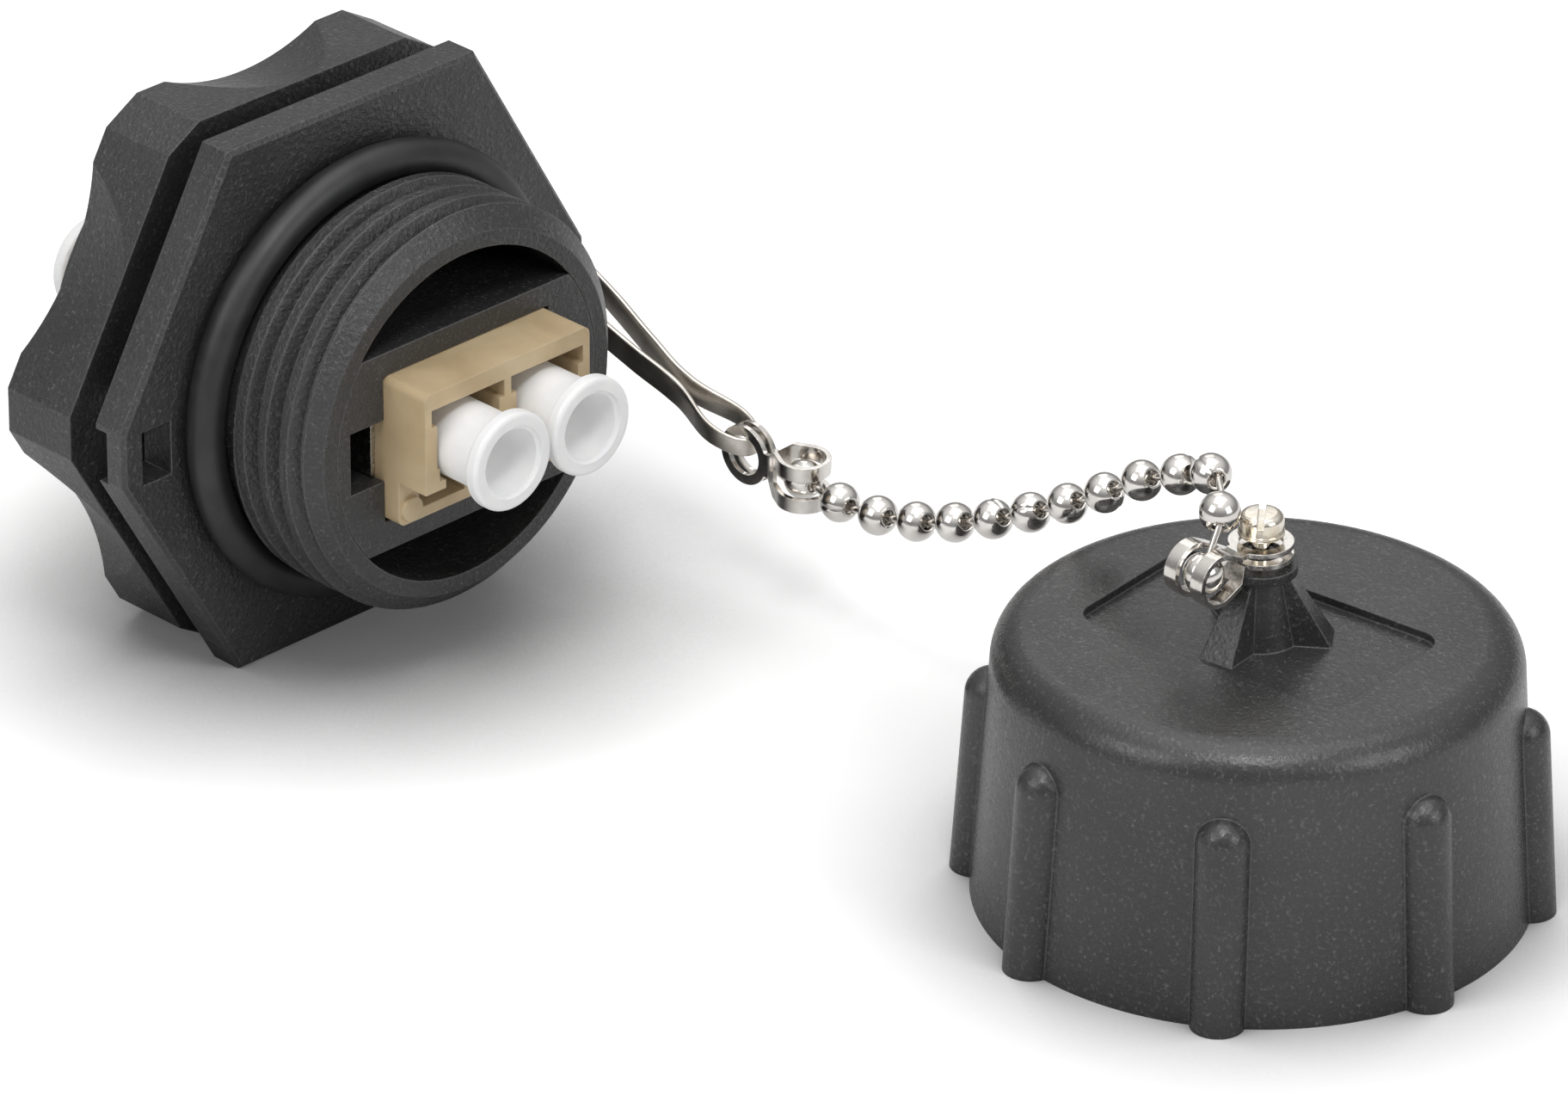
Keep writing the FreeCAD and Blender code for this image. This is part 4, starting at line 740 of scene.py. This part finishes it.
class COUPLER_OT_screw(bpy.types.Operator):
    """Models the slotted pan-head screw with its lip and stem on the cap's post"""
    bl_idname = "coupler.screw"
    bl_label = "Cap screw"

    def execute(self, context):
        sizes = context.scene.coupler_screw
        low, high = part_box("cap_screw")
        foot = centre_of("cap_screw")
        seat = (high[2] - low[2]) / MM - sizes.seat_mm
        top = seat + sizes.tall_mm
        lip_r = (high[0] - low[0]) / MM / 2
        neck = seat + sizes.lip_mm
        lip = cylinder("lip", lip_r, seat, neck)
        bevel_rim(lip, neck, sizes.lip_mm * LIP_TOP_ROUND, 4)
        bevel_rim(lip, seat, sizes.lip_mm * LIP_FOOT_ROUND, 3)
        head = cylinder("head", lip_r * HEAD_SHARE, neck - SUNK_MM, top)
        bevel_rim(head, top, CROWN_MM, 9)
        bpy.ops.object.select_all(action="DESELECT")
        bpy.ops.mesh.primitive_cube_add(size=1.0)
        blade = context.object
        turn = Matrix.Rotation(sizes.slot_turn, 4, "Z")
        size = Matrix.Diagonal((lip_r * BLADE_SHARE * MM, sizes.slot_mm * MM,
                                2 * SLOT_DEEP_MM * MM, 1.0))
        bake_place(blade, turn @ Matrix.Translation((0, 0, top * MM)) @ size)
        cut(head, blade)
        stem = cylinder("stem", lip_r * STEM_SHARE, 0.0, neck, 32)
        screw = join("cap_screw_turned", [head, lip, stem])
        bake_place(screw, Matrix.Translation((foot.x, foot.y, low[2])))
        plate = nickel_plate(
            "nickel_plated_screw", "#f1ebe0", "#dccfb8",
            roughness=context.scene.coupler_finishes.metal_roughness, streak_mm=0.30)
        dress(screw, body_of_node("cap_screw"), ["cap_screw"], plate,
              angle=35.0)
        return {"FINISHED"}


# ------------------------------------------------------------------ cap's inner thread

# The radius of the cap's bore, in which the thread's root is sunk, and the height of the thread's
# start over the cap's rim.
BORE_MM, START_MM = 12.08, 3.4
# Half the thread's height along the bore as a share of its pitch.
RIDGE_SHARE = 0.27
STEPS_PER_TURN = 56


class CouplerThread(bpy.types.PropertyGroup):
    """Sizes of the thread inside the cap"""
    pitch_mm: bpy.props.FloatProperty(
        name="Pitch", description="Pitch of the cap's inner thread in millimetres", default=1.8,
        min=0.2, max=10.0)
    turns: bpy.props.FloatProperty(
        name="Turns", description="How many turns the inner thread has", default=4.2,
        min=0.5, max=20.0)
    proud_mm: bpy.props.FloatProperty(
        name="Height", description="How far the thread stands in from the bore in millimetres",
        default=0.62, min=0.05, max=5.0)


class COUPLER_OT_cap_thread(bpy.types.Operator):
    """Models the round thread inside the screw cap"""
    bl_idname = "coupler.cap_thread"
    bl_label = "Cap's inner thread"

    def execute(self, context):
        sizes = context.scene.coupler_thread
        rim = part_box("screw_cap")[0][2] / MM
        axis = centre_of("cap_screw")
        bpy.ops.object.select_all(action="DESELECT")
        bpy.ops.mesh.primitive_circle_add(vertices=14, radius=1.0)
        ridge = context.object
        ridge.name = "cap_inner_thread"
        half = sizes.pitch_mm * RIDGE_SHARE
        bake_place(ridge, Matrix.Translation((BORE_MM * MM, 0, (rim + START_MM) * MM))
                   @ Matrix.Diagonal((sizes.proud_mm * MM, 1.0, half * MM, 1.0))
                   @ Matrix.Rotation(math.radians(90.0), 4, "X"))
        winding = ridge.modifiers.new("winding", "SCREW")
        winding.angle = sizes.turns * 2 * math.pi
        winding.screw_offset = sizes.pitch_mm * sizes.turns * MM
        winding.steps = winding.render_steps = int(STEPS_PER_TURN * sizes.turns)
        winding.axis = "Z"
        winding.use_smooth_shade = True
        bpy.ops.object.modifier_apply(modifier="winding")
        # Both ends are closed.
        edit(ridge, "VERT", lambda vert: True)
        bpy.ops.mesh.fill_holes(sides=20)
        bpy.ops.mesh.select_all(action="SELECT")
        bpy.ops.mesh.normals_make_consistent(inside=False)
        bpy.ops.object.mode_set(mode="OBJECT")
        bake_place(ridge, Matrix.Translation((axis.x, axis.y, 0)))
        look = context.scene.coupler_finishes
        nylon = glass_filled_nylon("black_nylon_thread", look.cap_dark, look.cap_light,
                                   look.grain_mm, relief_mm=0.03, speck=0.4, roughness=0.4)
        dress(ridge, body_of_node("screw_cap"), [], nylon, angle=50.0)
        return {"FINISHED"}


# ------------------------------------------------------------------ studio

# Each lamp's place and width in metres; its power is one of the studio's settings.
LAMPS = {"top": ((0.02, 0.04, 0.62), 0.55),
         "key": ((-0.05, -0.50, 0.34), 0.32),
         "fill": ((0.60, 0.10, 0.28), 0.30),
         "sheen": ((0.25, -0.22, 0.57), 0.15),
         "back": ((-0.35, 0.35, 0.40), 0.30)}
# The camera's place in metres, and the ways to its right, its top and its back.
CAMERA_PLACE = (0.426572, -0.388772, 0.291094)
CAMERA_WAYS = ((0.705347, 0.708853, 0.003675),
               (-0.332967, 0.326735, 0.884521),
               (0.625794, -0.625118, 0.466486))
LENS_MM, SENSOR_MM = 254.5, 36.0
FLOOR_WIDTH, FLOOR_X = 8.0, 0.03


class CouplerStudio(bpy.types.PropertyGroup):
    """Paper and lamps of the studio"""
    floor_white: bpy.props.FloatProperty(
        name="Floor white", description="Paleness of the floor", default=0.93,
        min=0.0, max=1.0, subtype="FACTOR")
    paper_lift: bpy.props.FloatProperty(
        name="Paper lift", description="How much paler the camera sees the paper", default=0.36,
        min=0.0, max=1.0, subtype="FACTOR")
    contact_mm: bpy.props.FloatProperty(
        name="Contact reach", description="Reach of the contact shadow in millimetres",
        default=20.0, min=1.0, max=200.0)
    contact_white: bpy.props.FloatProperty(
        name="Contact paleness", description="Paleness of the paper right under the object",
        default=0.20, min=0.0, max=1.0, subtype="FACTOR")
    sky: bpy.props.FloatProperty(
        name="Sky", description="Strength of the even light from all round", default=0.27,
        min=0.0, max=2.0)
    top_watts: bpy.props.FloatProperty(
        name="Top lamp", description="Power of the wide lamp overhead", default=1.4,
        min=0.0, max=20.0, unit="POWER")
    key_watts: bpy.props.FloatProperty(
        name="Key lamp", description="Power of the soft lamp at the left", default=0.85,
        min=0.0, max=20.0, unit="POWER")
    fill_watts: bpy.props.FloatProperty(
        name="Fill lamp", description="Power of the fill lamp", default=0.95,
        min=0.0, max=20.0, unit="POWER")
    sheen_watts: bpy.props.FloatProperty(
        name="Sheen lamp", description="Power of the small lamp that draws the highlights",
        default=0.95, min=0.0, max=20.0, unit="POWER")
    back_watts: bpy.props.FloatProperty(
        name="Back lamp", description="Power of the lamp behind", default=0.2,
        min=0.0, max=20.0, unit="POWER")


def seamless_paper(look):
    """White uncoated paper: matt, with a faint tooth, and dimmed close under the object."""
    paper, tree, place = new_material("white_seamless_paper")
    # Tooth: real paper fibres are 0.03 mm, drawn at 2.5 mm so that they show on a wide floor.
    tooth = add(tree, "ShaderNodeTexNoise", {"Vector": place, "Scale": grains(2.5), "Detail": 2.0})
    shade = add(tree, "ShaderNodeMapRange",
                {"Value": tooth.outputs["Fac"],
                 "To Min": look.floor_white - 0.01, "To Max": look.floor_white + 0.01})
    # Close under the object the paper lies in its own deep contact shadow.
    hidden = add(tree, "ShaderNodeAmbientOcclusion", {"Distance": look.contact_mm * MM},
                 samples=12)
    contact = add(tree, "ShaderNodeMapRange",
                  {"Value": hidden.outputs["AO"], "From Min": 0.35, "From Max": 0.97,
                   "To Min": look.contact_white, "To Max": 1.0})
    dimmed = add(tree, "ShaderNodeMath",
                 {0: shade.outputs["Result"], 1: contact.outputs["Result"]}, operation="MULTIPLY")
    # The camera alone sees the paper a little paler, so that it is white where no shadow falls.
    ray = add(tree, "ShaderNodeLightPath")
    pale = add(tree, "ShaderNodeMath", {0: ray.outputs["Is Camera Ray"], 1: look.paper_lift},
               operation="MULTIPLY")
    lift = add(tree, "ShaderNodeMath", {0: pale.outputs[0], 1: contact.outputs["Result"]},
               operation="MULTIPLY")
    show(tree, {"Base Color": dimmed.outputs[0], "Roughness": 0.9, "Specular IOR Level": 0.1,
                "Emission Color": "#ffffff", "Emission Strength": lift.outputs[0]})
    return paper


def soft_sky(strength):
    """Even light from all round, a white that only the camera sees, and a room for the metal."""
    world = bpy.data.worlds.new("soft_sky")
    world.use_nodes = True
    tree = world.node_tree
    tree.nodes.clear()
    ray = add(tree, "ShaderNodeLightPath")
    way = add(tree, "ShaderNodeTexCoord")
    split = add(tree, "ShaderNodeSeparateXYZ", {0: way.outputs["Generated"]})
    # The room that bright metal mirrors: pale overhead, darker low down behind the camera.
    room = add(tree, "ShaderNodeValToRGB", {"Fac": split.outputs["Z"]},
               stops=[(0.0, 0.26), (0.30, 0.34), (0.60, 0.70), (0.85, 1.0)])
    even = add(tree, "ShaderNodeBackground", {"Color": "#ffffff", "Strength": strength})
    mirrored = add(tree, "ShaderNodeBackground", {"Color": room.outputs["Color"], "Strength": 0.9})
    seen = add(tree, "ShaderNodeBackground", {"Color": "#ffffff", "Strength": 1.0})
    glossy = add(tree, "ShaderNodeMixShader",
                 {0: ray.outputs["Is Glossy Ray"], 1: even.outputs[0], 2: mirrored.outputs[0]})
    final = add(tree, "ShaderNodeMixShader",
                {0: ray.outputs["Is Camera Ray"], 1: glossy.outputs[0], 2: seen.outputs[0]})
    add(tree, "ShaderNodeOutputWorld", {"Surface": final.outputs[0]})
    return world


def soft_lamp(name, place, width, watts):
    """A square soft lamp aimed at the middle of the object."""
    lamp = bpy.data.lights.new(name, "AREA")
    lamp.size = width
    lamp.energy = watts
    holder = bpy.data.objects.new(name, lamp)
    bpy.context.scene.collection.objects.link(holder)
    holder.location = place
    aim = (CAD_BOX[0] + CAD_BOX[1]) / 2 - place
    holder.rotation_euler = aim.to_track_quat("-Z", "Y").to_euler()


class COUPLER_OT_studio(bpy.types.Operator):
    """Sets the pale floor, the soft lamps and the camera"""
    bl_idname = "coupler.studio"
    bl_label = "Studio"

    def execute(self, context):
        scene = context.scene
        look = scene.coupler_studio
        bpy.ops.object.select_all(action="DESELECT")
        bpy.ops.mesh.primitive_plane_add(
            size=FLOOR_WIDTH, location=(FLOOR_X, 0.0, CAD_BOX[0].z))
        floor = context.object
        floor.name = "floor"
        bpy.ops.object.transform_apply(location=True, rotation=True, scale=True)
        floor.data.materials.append(seamless_paper(look))

        scene.world = soft_sky(look.sky)
        for side, (place, width) in LAMPS.items():
            soft_lamp(side + "_lamp", Vector(place), width, getattr(look, side + "_watts"))

        camera = bpy.data.objects.new("camera", bpy.data.cameras.new("camera"))
        scene.collection.objects.link(camera)
        camera.data.sensor_width = SENSOR_MM
        camera.data.lens = LENS_MM
        camera.data.clip_start = 0.01
        turn = Matrix(CAMERA_WAYS).transposed().to_4x4()
        camera.matrix_world = Matrix.Translation(CAMERA_PLACE) @ turn
        scene.camera = camera
        scene.view_settings.view_transform = "Standard"
        return {"FINISHED"}


# ------------------------------------------------------------------ panel and registration

class COUPLER_PT_panel(bpy.types.Panel):
    """Lists the sizes, colours and steps that dress the coupler"""
    bl_label = "Sealed fibre coupler"
    bl_idname = "COUPLER_PT_panel"
    bl_space_type = "VIEW_3D"
    bl_region_type = "UI"
    bl_category = "Coupler"

    def draw(self, context):
        for group, kind in GROUPS.items():
            for name in kind.__annotations__:
                self.layout.prop(getattr(context.scene, group), name)
        for step in STEPS:
            self.layout.operator(step.bl_idname)


GROUPS = {"coupler_finishes": CouplerFinishes, "coupler_studio": CouplerStudio,
          "coupler_chain": CouplerChain, "coupler_screw": CouplerScrew,
          "coupler_thread": CouplerThread, "coupler_strap": CouplerStrap}
STEPS = [COUPLER_OT_studio, COUPLER_OT_bodywork, COUPLER_OT_seals, COUPLER_OT_inner_adapter,
         COUPLER_OT_dust_plugs, COUPLER_OT_balls, COUPLER_OT_strap, COUPLER_OT_tether,
         COUPLER_OT_screw, COUPLER_OT_cap_thread, COUPLER_OT_cap]


def register():
    """Registers the settings, the steps and the panel."""
    for made in list(GROUPS.values()) + STEPS + [COUPLER_PT_panel]:
        bpy.utils.register_class(made)
    for name, group in GROUPS.items():
        setattr(bpy.types.Scene, name, bpy.props.PointerProperty(type=group))


def unregister():
    """Takes away what register added."""
    for name in GROUPS:
        delattr(bpy.types.Scene, name)
    for made in reversed(list(GROUPS.values()) + STEPS + [COUPLER_PT_panel]):
        bpy.utils.unregister_class(made)


def main():
    """Dresses the whole coupler."""
    register()
    bpy.ops.coupler.studio()
    bpy.ops.coupler.bodywork()
    bpy.ops.coupler.seals()
    bpy.ops.coupler.inner_adapter()
    bpy.ops.coupler.dust_plugs()
    bpy.ops.coupler.balls()
    bpy.ops.coupler.strap()
    bpy.ops.coupler.tether()
    bpy.ops.coupler.screw()
    bpy.ops.coupler.cap_thread()
    bpy.ops.coupler.cap()


if __name__ == "__main__":
    main()
